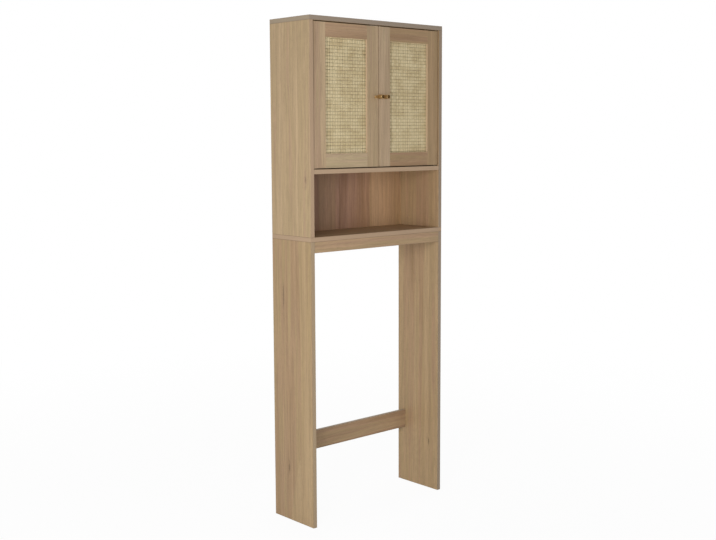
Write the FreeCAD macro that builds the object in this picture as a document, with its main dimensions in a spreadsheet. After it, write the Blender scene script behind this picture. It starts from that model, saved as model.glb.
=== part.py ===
import FreeCAD, Part
import os
import re
from dataclasses import dataclass

import Sketcher
from FreeCAD import Rotation, Vector

# Over-toilet storage unit: two tall leg panels span the toilet and carry a deck board.
# Two side panels, a top board and a fixed shelf stand on the deck. They form an open niche
# and, above it, a cupboard with two framed cane doors that turn on pivot pins.
# X runs to the right, Y to the back and Z up. The origin is on the floor, midway between the
# sides and midway between the knobs' faces and the rear edges. Sizes are in millimetres.

SHEET_NAME = "Sizes"

SIZES = {
    # The whole unit and its levels
    "overall_width": 650,
    "overall_depth": 220,
    "overall_height": 1800,
    "board_thickness": 16,
    "edge_break": 0.6,
    "leg_height": 1025,
    "niche_height": 219,
    "rail_height": 39,
    "stretcher_height": 70,
    "stretcher_bottom": 222,
    "stretcher_setback": 24,
    "back_thickness": 4,
    "back_inset": 8,
    "groove_depth": 6,
    "groove_spare": 0.5,
    # Knock-down fittings inside the boards
    "fixing_fit": 0.1,
    "fixing_inset": 35,
    "fixing_step": 22,
    "dowel_step": 12,
    "cam_radius": 7.5,
    "cam_depth": 12.5,
    "cam_distance": 34,
    "bolt_radius": 3.5,
    "bolt_reach": 11,
    "bolt_end_gap": 0.3,
    "dowel_radius": 4,
    "dowel_in_face": 10,
    "dowel_in_end": 20,
    "dowel_spare": 0.5,
    "stretcher_dowel_share": 0.25,
    # Inner shelf on its pegs
    "peg_radius": 2.5,
    "peg_in_side": 8,
    "peg_reach": 8,
    "peg_row_inset": 60,
    "peg_pitch": 64,
    "peg_rows": 3,
    "peg_used_row": 1,
    "peg_row_share": 0.48,
    "inner_shelf_setback": 20,
    "inner_shelf_gap": 1,
    # Doors
    "door_thickness": 16,
    "door_recess": 4,
    "door_edge_break": 0.4,
    "side_gap": 3,
    "centre_gap": 3,
    "end_gap": 3.5,
    "stile_width": 55,
    "door_rail_width": 50,
    "rebate_width": 8,
    "tenon_length": 12,
    "tenon_thickness": 5,
    "tenon_front": 2.5,
    "tenon_shoulder": 8,
    "tenon_spare": 0.5,
    # Cane panel in its rebate
    "cane_recess": 7.5,
    "cane_thickness": 1.5,
    "cane_columns": 8,
    "cane_rows": 16,
    "cane_gap_share": 0.62,
    # Pivot pins and their bushes
    "pivot_inset": 8,
    "pivot_depth": 7,
    "pin_radius": 2.5,
    "pin_in_door": 12,
    "pin_end_gap": 1,
    "running_fit": 0.05,
    "thrust_gap": 0.3,
    "collar_radius": 5,
    "sleeve_radius": 4,
    "sleeve_length": 10,
    "flange_radius": 6,
    "flange_thickness": 1,
    # Knobs
    "knob_inset": 12.5,
    "knob_length": 38,
    "knob_radius": 7.5,
    "knob_edge": 0.8,
    "knob_base_radius": 6,
    "knob_base_thickness": 2,
    "knob_neck_radius": 4,
    "knob_neck_length": 12,
    "screw_radius": 2,
    "screw_clearance": 0.25,
    "screw_in_knob": 10,
    "screw_head_radius": 4,
    "screw_head_height": 2.5,
    # Magnetic catch
    "catch_width": 44,
    "catch_depth": 16,
    "catch_height": 14,
    "magnet_width": 14,
    "magnet_height": 6,
    "magnet_depth": 10,
    "magnet_inset": 4,
    "strike_width": 16,
    "strike_height": 20,
    "strike_thickness": 1.2,
    "catch_gap": 0.3,
    # Wall brackets
    "bracket_width": 18,
    "bracket_leg": 30,
    "bracket_thickness": 2,
    "bracket_inset": 50,
    "bracket_hole_radius": 2.5,
    "bracket_hole_share": 0.4,
}

DERIVED = {
    "half_width": "overall_width / 2",
    "knob_proud": "knob_length - door_recess",
    "front_offset": "(overall_depth - knob_proud) / 2",
    "inner_width": "overall_width - 2 * board_thickness",
    "inner_half": "inner_width / 2",
    "mid_board": "board_thickness / 2",
    "deck_top": "leg_height + board_thickness",
    "shelf_bottom": "deck_top + niche_height",
    "shelf_top": "shelf_bottom + board_thickness",
    "top_under": "overall_height - board_thickness",
    "side_height": "top_under - deck_top",
    "cupboard_height": "top_under - shelf_top",
    "back_front": "overall_depth - back_inset - back_thickness",
    "back_tongue": "groove_depth - groove_spare",
    "rail_bottom": "leg_height - rail_height",
    "stretcher_front": "overall_depth - stretcher_setback - board_thickness",
    "rear_fixing": "back_front - fixing_inset",
    "leg_front_fixing": "fixing_inset + fixing_step",
    "leg_rear_fixing": "rear_fixing - fixing_step",
    "fixing_middle": "(fixing_inset + rear_fixing) / 2",
    "deck_dowel": "fixing_middle - dowel_step",
    "leg_dowel": "fixing_middle + dowel_step",
    "bolt_length": "bolt_reach + cam_distance - cam_radius - bolt_end_gap",
    "dowel_length": "dowel_in_face + dowel_in_end",
    "door_width": "(inner_width - 2 * side_gap - centre_gap) / 2",
    "door_height": "cupboard_height - 2 * end_gap",
    "door_bottom": "shelf_top + end_gap",
    "door_back": "door_recess + door_thickness",
    "opening_width": "door_width - 2 * stile_width",
    "opening_height": "door_height - 2 * door_rail_width",
    "rebate_depth": "door_thickness - cane_recess",
    "tenon_height": "door_rail_width - rebate_width - 2 * tenon_shoulder",
    "bead_depth": "rebate_depth - cane_thickness",
    "pivot_y": "door_recess + pivot_depth",
    "pivot_x": "inner_half - side_gap - pivot_inset",
    "collar_thickness": "end_gap - flange_thickness - thrust_gap",
    "pin_length": "pin_in_door + end_gap + sleeve_length - pin_end_gap",
    "peg_lowest": "cupboard_height * peg_row_share - peg_pitch * (peg_rows - 1) / 2",
    "peg_row": "shelf_top + peg_lowest + peg_pitch * peg_used_row",
    "inner_shelf_front": "door_back + inner_shelf_setback",
    "peg_front": "inner_shelf_front + peg_row_inset / 2",
    "peg_rear": "back_front - peg_row_inset / 2",
    "bracket_hole_height": "bracket_leg * bracket_hole_share",
    "bracket_bottom": "top_under - bracket_leg",
}

ZERO = None

# Hidden fittings and their bores have a few flat sides instead of a round.
FITTING_SIDES = 8

doc = FreeCAD.newDocument("over_toilet_unit")
sheet = doc.addObject("Spreadsheet::Sheet", SHEET_NAME)
exported = []


def fill_sheet():
    """Write each driving size into its own cell, under its alias."""
    for row, (alias, value) in enumerate(SIZES.items(), start=1):
        sheet.set(f"A{row}", alias)
        sheet.set(f"B{row}", str(value))
        sheet.setAlias(f"B{row}", alias)
    doc.recompute()


def formula(text):
    """Spell out the derived sizes in a formula and name the sheet before each alias."""

    def spell(match):
        word = match.group(0)
        if word in DERIVED:
            return f"({formula(DERIVED[word])})"
        return f"{SHEET_NAME}.{word}"

    return re.sub(r"[a-z_]+", spell, text)


def bind(item, path, text):
    """Tie one property of an object to a formula of the sheet's sizes."""
    item.setExpression(path, formula(text))


def move(item, place, turn=None):
    """Give an object its turn and tie its place to the sheet."""
    if turn is not None:
        item.Placement = FreeCAD.Placement(Vector(), turn)
    for axis, text in zip("xyz", place):
        if text is not ZERO:
            bind(item, f"Placement.Base.{axis}", text)


def origin_item(body, role):
    """Find one of a body's own origin planes or axes."""
    return next(item for item in body.Origin.OriginFeatures if item.Role == role)


def new_sketch(body, role, offset=ZERO):
    """Start a sketch on one of the body's origin planes, moved along its normal."""
    sketch = body.newObject("Sketcher::SketchObject", "Sketch")
    sketch.AttachmentSupport = [(origin_item(body, role), "")]
    sketch.MapMode = "FlatFace"
    if offset is not ZERO:
        bind(sketch, "AttachmentOffset.Base.z", offset)
    return sketch


def tie(sketch, kind, first, second, text):
    """Add a distance between two sketch points and tie it to the sheet."""
    number = sketch.addConstraint(Sketcher.Constraint(kind, *first, *second, 1))
    bind(sketch, f"Constraints[{number}]", text)


def place_point(sketch, point, across, up):
    """Tie a sketch point to its distances from the sketch's origin."""
    origin = (-1, 1)
    if across is ZERO:
        sketch.addConstraint(Sketcher.Constraint("PointOnObject", *point, -2))
    else:
        tie(sketch, "DistanceX", origin, point, across)
    if up is ZERO:
        sketch.addConstraint(Sketcher.Constraint("PointOnObject", *point, -1))
    else:
        tie(sketch, "DistanceY", origin, point, up)


def draw_outline(sketch, points):
    """Draw a closed outline of straight lines through points given as formulas."""
    count = len(points)
    unit = [Vector(number, number * number, 0) for number in range(count)]
    lines = [
        sketch.addGeometry(Part.LineSegment(unit[number], unit[(number + 1) % count]), False)
        for number in range(count)
    ]
    for number, line in enumerate(lines):
        following = lines[(number + 1) % count]
        sketch.addConstraint(Sketcher.Constraint("Coincident", line, 2, following, 1))
    for line, (across, up) in zip(lines, points):
        place_point(sketch, (line, 1), across, up)


def draw_rectangle(sketch, left, low, wide, tall):
    """Draw a rectangle from its lower left corner and its two sizes."""
    right = wide if left is ZERO else f"{left} + {wide}"
    high = tall if low is ZERO else f"{low} + {tall}"
    draw_outline(sketch, [(left, low), (right, low), (right, high), (left, high)])


def draw_circle(sketch, across, up, radius):
    """Draw a circle from its centre and radius."""
    circle = sketch.addGeometry(Part.Circle(Vector(1, 1, 0), Vector(0, 0, 1), 1), False)
    place_point(sketch, (circle, 3), across, up)
    number = sketch.addConstraint(Sketcher.Constraint("Radius", circle, 1))
    bind(sketch, f"Constraints[{number}]", radius)


def new_body(label, grouped=False):
    """Start a body under its own label, and list it for export unless a group takes it."""
    body = doc.addObject("PartDesign::Body", label)
    body.Label = label
    if not grouped:
        exported.append(body)
    return body


def add_prism(body, kind, role, place, radius, length):
    """Add or cut a prism with a few flat sides, square to one of the body's planes."""
    prism = body.newObject(f"PartDesign::{kind}Prism", "Prism")
    prism.Polygon = FITTING_SIDES
    prism.AttachmentSupport = [(origin_item(body, role), "")]
    prism.MapMode = "FlatFace"
    bind(prism, "Circumradius", radius)
    bind(prism, "Height", length)
    for axis, text in zip("xyz", place):
        if text is not ZERO:
            bind(prism, f"AttachmentOffset.Base.{axis}", text)
    return prism


def check_cut(body, before, feature):
    """Stop if a cut or pad changed nothing."""
    if abs(body.Shape.Volume - before) <= 0:
        raise RuntimeError(f"{body.Label}: {feature.Name} changes nothing")


@dataclass
class Piece:
    """A piece whose left, front and bottom planes meet at its origin, and its sizes."""

    body: object
    size: tuple

    def face(self, name):
        """Give the plane, its offset and the cutting direction for one face."""
        wide, deep, tall = self.size
        return {
            "left": ("YZ_Plane", ZERO, True),
            "right": ("YZ_Plane", wide, False),
            "front": ("XZ_Plane", ZERO, False),
            "rear": ("XZ_Plane", f"-({deep})", True),
            "bottom": ("XY_Plane", ZERO, True),
            "top": ("XY_Plane", tall, False),
        }[name]

    def cut(self, face, draw, depth):
        """Cut what draw puts on a face's sketch, to a depth."""
        before = self.body.Shape.Volume
        role, offset, reverse = self.face(face)
        sketch = new_sketch(self.body, role, offset)
        draw(sketch)
        pocket = self.body.newObject("PartDesign::Pocket", "Pocket")
        pocket.Profile = sketch
        pocket.Reversed = reverse
        bind(pocket, "Length", depth)
        doc.recompute()
        check_cut(self.body, before, pocket)

    def recess(self, face, left, low, wide, tall, depth):
        """Cut a rectangular groove, rebate or mortise into a face."""
        return self.cut(face, lambda sketch: draw_rectangle(sketch, left, low, wide, tall), depth)

    def drill(self, face, places, radius, depth):
        """Drill round holes into a face."""

        def draw(sketch):
            for across, up in places:
                draw_circle(sketch, across, up, radius)

        return self.cut(face, draw, depth)

    def bore(self, face, places, radius, depth):
        """Bore hidden holes with a few flat sides into a face."""
        before = self.body.Shape.Volume
        role, offset, reverse = self.face(face)
        floor = offset
        if not reverse:
            floor = f"-({depth})" if offset is ZERO else f"{offset} - ({depth})"
        prisms = [
            add_prism(self.body, "Subtractive", role, (across, up, floor), radius, depth)
            for across, up in places
        ]
        doc.recompute()
        check_cut(self.body, before, prisms[-1])
        return prisms

    def tenon(self, face, left, low, wide, tall, length):
        """Add a rectangular tenon that stands out of a face."""
        before = self.body.Shape.Volume
        role, offset, reverse = self.face(face)
        sketch = new_sketch(self.body, role, offset)
        draw_rectangle(sketch, left, low, wide, tall)
        pad = self.body.newObject("PartDesign::Pad", "Pad")
        pad.Profile = sketch
        pad.Reversed = reverse
        bind(pad, "Length", length)
        doc.recompute()
        check_cut(self.body, before, pad)


def make_board(label, size, place, eased="", ease="edge_break"):
    """Make a board and break the edges that run along the axes named in eased."""
    wide, deep, tall = size
    body = new_body(label)
    sketch = new_sketch(body, "XY_Plane")
    draw_rectangle(sketch, ZERO, ZERO, wide, deep)
    pad = body.newObject("PartDesign::Pad", "Pad")
    pad.Profile = sketch
    bind(pad, "Length", tall)
    doc.recompute()
    if eased:
        axes = {"x": Vector(1, 0, 0), "y": Vector(0, 1, 0), "z": Vector(0, 0, 1)}
        along = [axes[name] for name in eased]
        edges = []
        for number, edge in enumerate(pad.Shape.Edges, start=1):
            run = edge.tangentAt(edge.FirstParameter)
            if any(run.cross(axis).Length < run.Length / 2 for axis in along):
                edges.append(f"Edge{number}")
        chamfer = body.newObject("PartDesign::Chamfer", "Chamfer")
        chamfer.Base = (pad, edges)
        bind(chamfer, "Size", ease)
        doc.recompute()
    move(body, place)
    return Piece(body, size)


def make_turned(label, profile, place, turn, grouped=False):
    """Turn a profile of radius and length about the body's own Y axis."""
    body = new_body(label, grouped)
    sketch = new_sketch(body, "XY_Plane")
    draw_outline(sketch, profile)
    revolution = body.newObject("PartDesign::Revolution", "Revolution")
    revolution.Profile = sketch
    revolution.ReferenceAxis = (sketch, ["V_Axis"])
    doc.recompute()
    move(body, place, turn)
    return body


def make_group(label, solids):
    """Join separate solids of one kind under one label."""
    group = doc.addObject("Part::Compound", label)
    group.Label = label
    group.Links = solids
    exported.append(group)
    return group


def make_rod(radius, length, place, turn=None):
    """Make a hidden rod with a few flat sides that runs along Z before its turn."""
    rod = doc.addObject("Part::Prism", "Rod")
    rod.Polygon = FITTING_SIDES
    bind(rod, "Circumradius", radius)
    bind(rod, "Height", length)
    move(rod, place, turn)
    return rod


def make_block(size, place):
    """Make a plain rectangular block."""
    block = doc.addObject("Part::Box", "Block")
    for name, text in zip(("Length", "Width", "Height"), size):
        bind(block, name, text)
    move(block, place)
    return block


Z_TO_X = Rotation(Vector(0, 1, 0), 90)
Y_TO_FRONT = Rotation(Vector(0, 0, 1), 180)
Y_TO_UP = Rotation(Vector(1, 0, 0), 90)
Y_TO_DOWN = Rotation(Vector(1, 0, 0), -90)

CAM_ROWS = ("fixing_inset", "rear_fixing")
LEG_CAM_ROWS = ("leg_front_fixing", "leg_rear_fixing")
END_COLUMNS = ("mid_board", "overall_width - mid_board")
BOLT_BORE = "bolt_radius + fixing_fit"
DOWEL_BORE = "dowel_radius + fixing_fit"
CAM_BORE = "cam_radius + fixing_fit"
STRETCHER_DOWELS = (
    "stretcher_height * stretcher_dowel_share",
    "stretcher_height * (1 - stretcher_dowel_share)",
)


def bore_for_ends(board, face, cam_rows, dowel_row):
    """Bore a wide board's face for the bolts and dowels of the two panels that meet it."""
    bolts = [(column, row) for column in END_COLUMNS for row in cam_rows]
    dowels = [(column, dowel_row) for column in END_COLUMNS]
    board.bore(face, bolts, BOLT_BORE, "bolt_reach")
    board.bore(face, dowels, DOWEL_BORE, "dowel_in_face + dowel_spare")


def bore_panel_end(panel, face, inner, height, cam_rows, dowel_row):
    """Bore one end of an upright panel for bolts and a dowel, and its inner face for cams."""
    panel.bore(face, [("mid_board", row) for row in cam_rows], BOLT_BORE, "cam_distance")
    panel.bore(face, [("mid_board", dowel_row)], DOWEL_BORE, "dowel_in_end + dowel_spare")
    panel.bore(inner, [(row, height) for row in cam_rows], CAM_BORE, "cam_depth")


def make_wide_boards():
    """Make the top board and the deck board, with the groove that holds the back panel."""
    size = ("overall_width", "overall_depth", "board_thickness")
    groove = (
        "board_thickness - groove_depth",
        "back_front",
        "inner_width + 2 * groove_depth",
        "back_thickness",
        "groove_depth",
    )
    bush_rows = [
        ("half_width - pivot_x", "pivot_y"),
        ("half_width + pivot_x", "pivot_y"),
    ]
    top = make_board("top_board", size, ("-half_width", "-front_offset", "top_under"), "xyz")
    top.recess("bottom", *groove)
    bore_for_ends(top, "bottom", CAM_ROWS, "deck_dowel")
    top.drill("bottom", bush_rows, "sleeve_radius + fixing_fit", "sleeve_length")
    deck = make_board("deck_board", size, ("-half_width", "-front_offset", "leg_height"), "xyz")
    deck.recess("top", *groove)
    bore_for_ends(deck, "top", CAM_ROWS, "deck_dowel")
    bore_for_ends(deck, "bottom", LEG_CAM_ROWS, "leg_dowel")


def make_side_panel(label, left_edge, inner):
    """Make an upper side panel with its groove, fixings and rows of peg holes."""
    size = ("board_thickness", "overall_depth", "side_height")
    side = make_board(label, size, (left_edge, "-front_offset", "deck_top"), "z")
    side.recess(inner, "back_front", ZERO, "back_thickness", "side_height", "groove_depth")
    bore_panel_end(side, "bottom", inner, "cam_distance", CAM_ROWS, "deck_dowel")
    bore_panel_end(side, "top", inner, "side_height - cam_distance", CAM_ROWS, "deck_dowel")
    shelf_rows = [(row, "niche_height + mid_board") for row in CAM_ROWS]
    side.bore(inner, shelf_rows, DOWEL_BORE, "dowel_in_face + dowel_spare")
    lowest = "niche_height + board_thickness + peg_lowest"
    for column in ("peg_front", "peg_rear"):
        holes = side.bore(inner, [(column, lowest)], "peg_radius + fixing_fit", "peg_in_side")
        before = side.body.Shape.Volume
        rows = side.body.newObject("PartDesign::LinearPattern", "PegRows")
        rows.Originals = holes
        rows.Direction = (origin_item(side.body, "Z_Axis"), [""])
        bind(rows, "Length", "peg_pitch * (peg_rows - 1)")
        bind(rows, "Occurrences", "peg_rows")
        side.body.Tip = rows
        doc.recompute()
        check_cut(side.body, before, rows)


def make_leg_panel(label, left_edge, inner):
    """Make a leg panel with the fixings for the deck, the rail and the stretcher."""
    size = ("board_thickness", "overall_depth", "leg_height")
    leg = make_board(label, size, (left_edge, "-front_offset", ZERO), "z")
    height = "leg_height - cam_distance"
    bore_panel_end(leg, "top", inner, height, LEG_CAM_ROWS, "leg_dowel")
    middle = "stretcher_front + mid_board"
    places = [("mid_board", "leg_height - rail_height / 2")]
    places += [(middle, f"stretcher_bottom + {rise}") for rise in STRETCHER_DOWELS]
    leg.bore(inner, places, DOWEL_BORE, "dowel_in_face + dowel_spare")


def bore_cross_ends(board, rows):
    """Bore both ends of a board that runs between two panels, for its dowels."""
    for face in ("left", "right"):
        board.bore(face, rows, DOWEL_BORE, "dowel_in_end + dowel_spare")


def make_cross_boards():
    """Make the fixed shelf, the front rail and the rear stretcher."""
    size = ("inner_width", "back_front", "board_thickness")
    shelf = make_board("fixed_shelf", size, ("-inner_half", "-front_offset", "shelf_bottom"), "x")
    bore_cross_ends(shelf, [(row, "mid_board") for row in CAM_ROWS])
    ends = ("side_gap + pivot_inset", "inner_width - side_gap - pivot_inset")
    bushes = [(end, "pivot_y") for end in ends]
    shelf.drill("top", bushes, "sleeve_radius + fixing_fit", "sleeve_length")
    size = ("inner_width", "board_thickness", "rail_height")
    rail = make_board("front_rail", size, ("-inner_half", "-front_offset", "rail_bottom"), "x")
    bore_cross_ends(rail, [("mid_board", "rail_height / 2")])
    size = ("inner_width", "board_thickness", "stretcher_height")
    place = ("-inner_half", "stretcher_front - front_offset", "stretcher_bottom")
    stretcher = make_board("rear_stretcher", size, place, "x")
    bore_cross_ends(stretcher, [("mid_board", rise) for rise in STRETCHER_DOWELS])


def make_inner_shelf():
    """Make the loose shelf in the cupboard and the pegs that it lies on."""
    size = (
        "inner_width - 2 * inner_shelf_gap",
        "back_front - inner_shelf_front - inner_shelf_gap",
        "board_thickness",
    )
    place = (
        "inner_shelf_gap - inner_half",
        "inner_shelf_front - front_offset",
        "peg_row + peg_radius",
    )
    make_board("adjustable_shelf", size, place, "x")
    pegs = []
    for left_end in ("-inner_half - peg_in_side", "inner_half - peg_reach"):
        for row in ("peg_front", "peg_rear"):
            place = (left_end, f"{row} - front_offset", "peg_row")
            pegs.append(make_rod("peg_radius", "peg_in_side + peg_reach", place, Z_TO_X))
    make_group("shelf_pins", pegs)


def make_back_panel():
    """Make the thin back panel that sits in the grooves, with its wall screw holes."""
    size = (
        "inner_width + 2 * back_tongue",
        "back_thickness",
        "side_height + 2 * back_tongue",
    )
    place = ("-inner_half - back_tongue", "back_front - front_offset", "deck_top - back_tongue")
    panel = make_board("back_panel", size, place)
    height = "side_height + back_tongue - bracket_leg + bracket_hole_height"
    near = "back_tongue + bracket_inset + bracket_width / 2"
    far = "inner_width + back_tongue - bracket_inset - bracket_width / 2"
    panel.drill("front", [(near, height), (far, height)], "bracket_hole_radius", "back_thickness")


def make_fittings():
    """Make the cam locks, their bolts and the dowels, each kind as one group."""
    cams = []
    bolts = []
    dowels = []
    joints = (
        ("top_under - cam_distance", "top_under + bolt_reach - bolt_length", CAM_ROWS),
        ("deck_top + cam_distance", "deck_top - bolt_reach", CAM_ROWS),
        ("leg_height - cam_distance", "leg_height + bolt_reach - bolt_length", LEG_CAM_ROWS),
    )
    for cam_height, bolt_foot, rows in joints:
        for row in rows:
            depth = f"{row} - front_offset"
            for left_end in ("-inner_half - cam_depth", "inner_half"):
                place = (left_end, depth, cam_height)
                cams.append(make_rod("cam_radius", "cam_depth", place, Z_TO_X))
            for middle in ("mid_board - half_width", "half_width - mid_board"):
                bolts.append(make_rod("bolt_radius", "bolt_length", (middle, depth, bolt_foot)))
    uprights = (
        ("top_under - dowel_in_end", "deck_dowel"),
        ("deck_top - dowel_in_face", "deck_dowel"),
        ("leg_height - dowel_in_end", "leg_dowel"),
    )
    for foot, row in uprights:
        for middle in ("mid_board - half_width", "half_width - mid_board"):
            place = (middle, f"{row} - front_offset", foot)
            dowels.append(make_rod("dowel_radius", "dowel_length", place))
    crossing = [(row, "shelf_bottom + mid_board") for row in CAM_ROWS]
    crossing.append(("mid_board", "leg_height - rail_height / 2"))
    for rise in STRETCHER_DOWELS:
        crossing.append(("stretcher_front + mid_board", f"stretcher_bottom + {rise}"))
    for row, height in crossing:
        for left_end in ("-inner_half - dowel_in_face", "inner_half - dowel_in_end"):
            place = (left_end, f"{row} - front_offset", height)
            dowels.append(make_rod("dowel_radius", "dowel_length", place, Z_TO_X))
    make_group("cam_locks", cams)
    make_group("cam_bolts", bolts)
    make_group("dowels", dowels)


def make_wall_bracket(label, left_edge):
    """Make one angle bracket, screwed under the top board and through the back panel."""
    body = new_body(label)
    sketch = new_sketch(body, "YZ_Plane")
    inside = "bracket_leg - bracket_thickness"
    outline = [
        (inside, ZERO),
        ("bracket_leg", ZERO),
        ("bracket_leg", "bracket_leg"),
        (ZERO, "bracket_leg"),
        (ZERO, inside),
        (inside, inside),
    ]
    draw_outline(sketch, outline)
    pad = body.newObject("PartDesign::Pad", "Pad")
    pad.Profile = sketch
    bind(pad, "Length", "bracket_width")
    doc.recompute()
    bracket = Piece(body, ("bracket_width", "bracket_leg", "bracket_leg"))
    hole = [("bracket_width / 2", "bracket_hole_height")]
    bracket.drill("rear", hole, "bracket_hole_radius", "bracket_thickness")
    bracket.drill("top", hole, "bracket_hole_radius", "bracket_thickness")
    move(body, (left_edge, "back_front - bracket_leg - front_offset", "bracket_bottom"))


def make_catch():
    """Make the double magnetic catch under the top board, with its two magnets."""
    front = "door_back + strike_thickness + catch_gap"
    size = ("catch_width", "catch_depth", "catch_height")
    place = ("-catch_width / 2", f"{front} - front_offset", "top_under - catch_height")
    catch = make_board("magnetic_catch", size, place)
    low = "(catch_height - magnet_height) / 2"
    lefts = ("magnet_inset", "catch_width - magnet_inset - magnet_width")
    magnets = []
    for left in lefts:
        catch.recess("front", left, low, "magnet_width", "magnet_height", "magnet_depth")
        place = (
            f"{left} - catch_width / 2",
            f"{front} - front_offset",
            f"top_under - catch_height + {low}",
        )
        magnets.append(make_block(("magnet_width", "magnet_depth", "magnet_height"), place))
    make_group("catch_magnets", magnets)


def make_stile(label, left_edge, inner):
    """Make an upright of a door frame: rebated for the cane and mortised for the rails."""
    size = ("stile_width", "door_thickness", "door_height")
    place = (left_edge, "door_recess - front_offset", "door_bottom")
    stile = make_board(label, size, place, "z", "door_edge_break")
    left = "stile_width - rebate_width" if inner == "right" else ZERO
    low = "door_rail_width - rebate_width"
    tall = "opening_height + 2 * rebate_width"
    stile.recess("rear", left, low, "rebate_width", tall, "rebate_depth")
    top_mortise = "door_height - door_rail_width + rebate_width + tenon_shoulder"
    for low in ("tenon_shoulder", top_mortise):
        depth = "tenon_length + tenon_spare"
        stile.recess(inner, "tenon_front", low, "tenon_thickness", "tenon_height", depth)
    return stile


def make_door_rail(label, left_edge, bottom, rebate_low, tenon_low):
    """Make a cross rail of a door frame, with its rebate and two stub tenons."""
    size = ("opening_width", "door_thickness", "door_rail_width")
    place = (left_edge, "door_recess - front_offset", bottom)
    rail = make_board(label, size, place, "x", "door_edge_break")
    rail.recess("rear", ZERO, rebate_low, "opening_width", "rebate_width", "rebate_depth")
    for face in ("left", "right"):
        rail.tenon(face, "tenon_front", tenon_low, "tenon_thickness", "tenon_height", "tenon_length")


def size_of(text):
    """Read one of the sheet's sizes as a number."""
    return float(sheet.get(text))


def make_cane_panel(label, left_edge):
    """Make the cane panel as one flat face with square gaps, then give it its thickness."""
    inner = size_of("overall_width") - 2 * size_of("board_thickness")
    door_width = (inner - 2 * size_of("side_gap") - size_of("centre_gap")) / 2
    deck_top = size_of("leg_height") + size_of("board_thickness")
    shelf_top = deck_top + size_of("niche_height") + size_of("board_thickness")
    top_under = size_of("overall_height") - size_of("board_thickness")
    door_height = top_under - shelf_top - 2 * size_of("end_gap")
    wide = door_width - 2 * size_of("stile_width")
    tall = door_height - 2 * size_of("door_rail_width")
    margin = size_of("rebate_width") - size_of("fixing_fit")
    columns = int(size_of("cane_columns"))
    rows = int(size_of("cane_rows"))
    pitch_x = wide / columns
    pitch_z = tall / rows
    share = size_of("cane_gap_share")

    def ring(left, low, right, high):
        corners = [
            Vector(left, 0, low),
            Vector(right, 0, low),
            Vector(right, 0, high),
            Vector(left, 0, high),
            Vector(left, 0, low),
        ]
        return Part.makePolygon(corners)

    rings = [ring(-margin, -margin, wide + margin, tall + margin)]
    for column in range(columns):
        for row in range(rows):
            left = pitch_x * (column + (1 - share) / 2)
            low = pitch_z * (row + (1 - share) / 2)
            rings.append(ring(left, low, left + pitch_x * share, low + pitch_z * share))
    face = Part.Face(rings)
    face.validate()
    net = doc.addObject("Part::Feature", label)
    net.Label = label
    net.Shape = face.extrude(Vector(0, size_of("cane_thickness"), 0))
    place = (
        f"{left_edge} + stile_width",
        "door_recess + cane_recess - front_offset",
        "door_bottom + door_rail_width",
    )
    move(net, place)
    exported.append(net)


def make_cane_beads(label, left_edge):
    """Make the four beads that hold the cane panel in its rebate."""
    left = f"{left_edge} + stile_width - rebate_width"
    right = f"{left_edge} + door_width - stile_width"
    depth = "door_recess + cane_recess + cane_thickness - front_offset"
    low = "door_bottom + door_rail_width - rebate_width"
    high = "door_bottom + door_height - door_rail_width"
    upright = ("rebate_width", "bead_depth", "opening_height + 2 * rebate_width")
    level = ("opening_width", "bead_depth", "rebate_width")
    beads = [
        make_block(upright, (left, depth, low)),
        make_block(upright, (right, depth, low)),
        make_block(level, (f"{left} + rebate_width", depth, low)),
        make_block(level, (f"{left} + rebate_width", depth, high)),
    ]
    make_group(label, beads)


def make_bush(label, column, height, turn):
    """Make one flanged bush; its flange lies on the board and its sleeve goes in."""
    bore = "pin_radius + running_fit"
    whole = "flange_thickness + sleeve_length"
    profile = [
        (bore, ZERO),
        ("flange_radius", ZERO),
        ("flange_radius", "flange_thickness"),
        ("sleeve_radius", "flange_thickness"),
        ("sleeve_radius", whole),
        (bore, whole),
    ]
    return make_turned(label, profile, (column, "pivot_y - front_offset", height), turn, True)


def make_pivot_bushes():
    """Make the four bushes of both doors, in the top board and the fixed shelf."""
    bushes = []
    for side, column in (("left", "-pivot_x"), ("right", "pivot_x")):
        upper = "top_under - flange_thickness"
        lower = "shelf_top + flange_thickness"
        bushes.append(make_bush(f"{side}_upper_bush", column, upper, Y_TO_UP))
        bushes.append(make_bush(f"{side}_lower_bush", column, lower, Y_TO_DOWN))
    make_group("pivot_bushes", bushes)


def make_pivot_pin(label, column, height, turn):
    """Make one pivot pin with its thrust collar; it starts inside the door."""
    collar_end = "pin_in_door + collar_thickness"
    profile = [
        (ZERO, ZERO),
        ("pin_radius", ZERO),
        ("pin_radius", "pin_in_door"),
        ("collar_radius", "pin_in_door"),
        ("collar_radius", collar_end),
        ("pin_radius", collar_end),
        ("pin_radius", "pin_length"),
        (ZERO, "pin_length"),
    ]
    return make_turned(label, profile, (column, "pivot_y - front_offset", height), turn, True)


def make_knob(label, column):
    """Make a turned knob: a base, a thin neck and a long cylindrical head."""
    neck_end = "knob_base_thickness + knob_neck_length"
    profile = [
        (ZERO, ZERO),
        ("knob_base_radius", ZERO),
        ("knob_base_radius", "knob_base_thickness"),
        ("knob_neck_radius", "knob_base_thickness"),
        ("knob_neck_radius", neck_end),
        ("knob_radius", neck_end),
        ("knob_radius", "knob_length - knob_edge"),
        ("knob_radius - knob_edge", "knob_length"),
        (ZERO, "knob_length"),
    ]
    middle = "door_bottom + door_height / 2"
    place = (column, "door_recess - front_offset", middle)
    body = make_turned(label, profile, place, Y_TO_FRONT)
    knob = Piece(body, ("knob_radius", "knob_length", "knob_radius"))
    bore = "screw_radius + fixing_fit"
    knob.bore("front", [(ZERO, ZERO)], bore, "screw_in_knob + fixing_fit")


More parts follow.
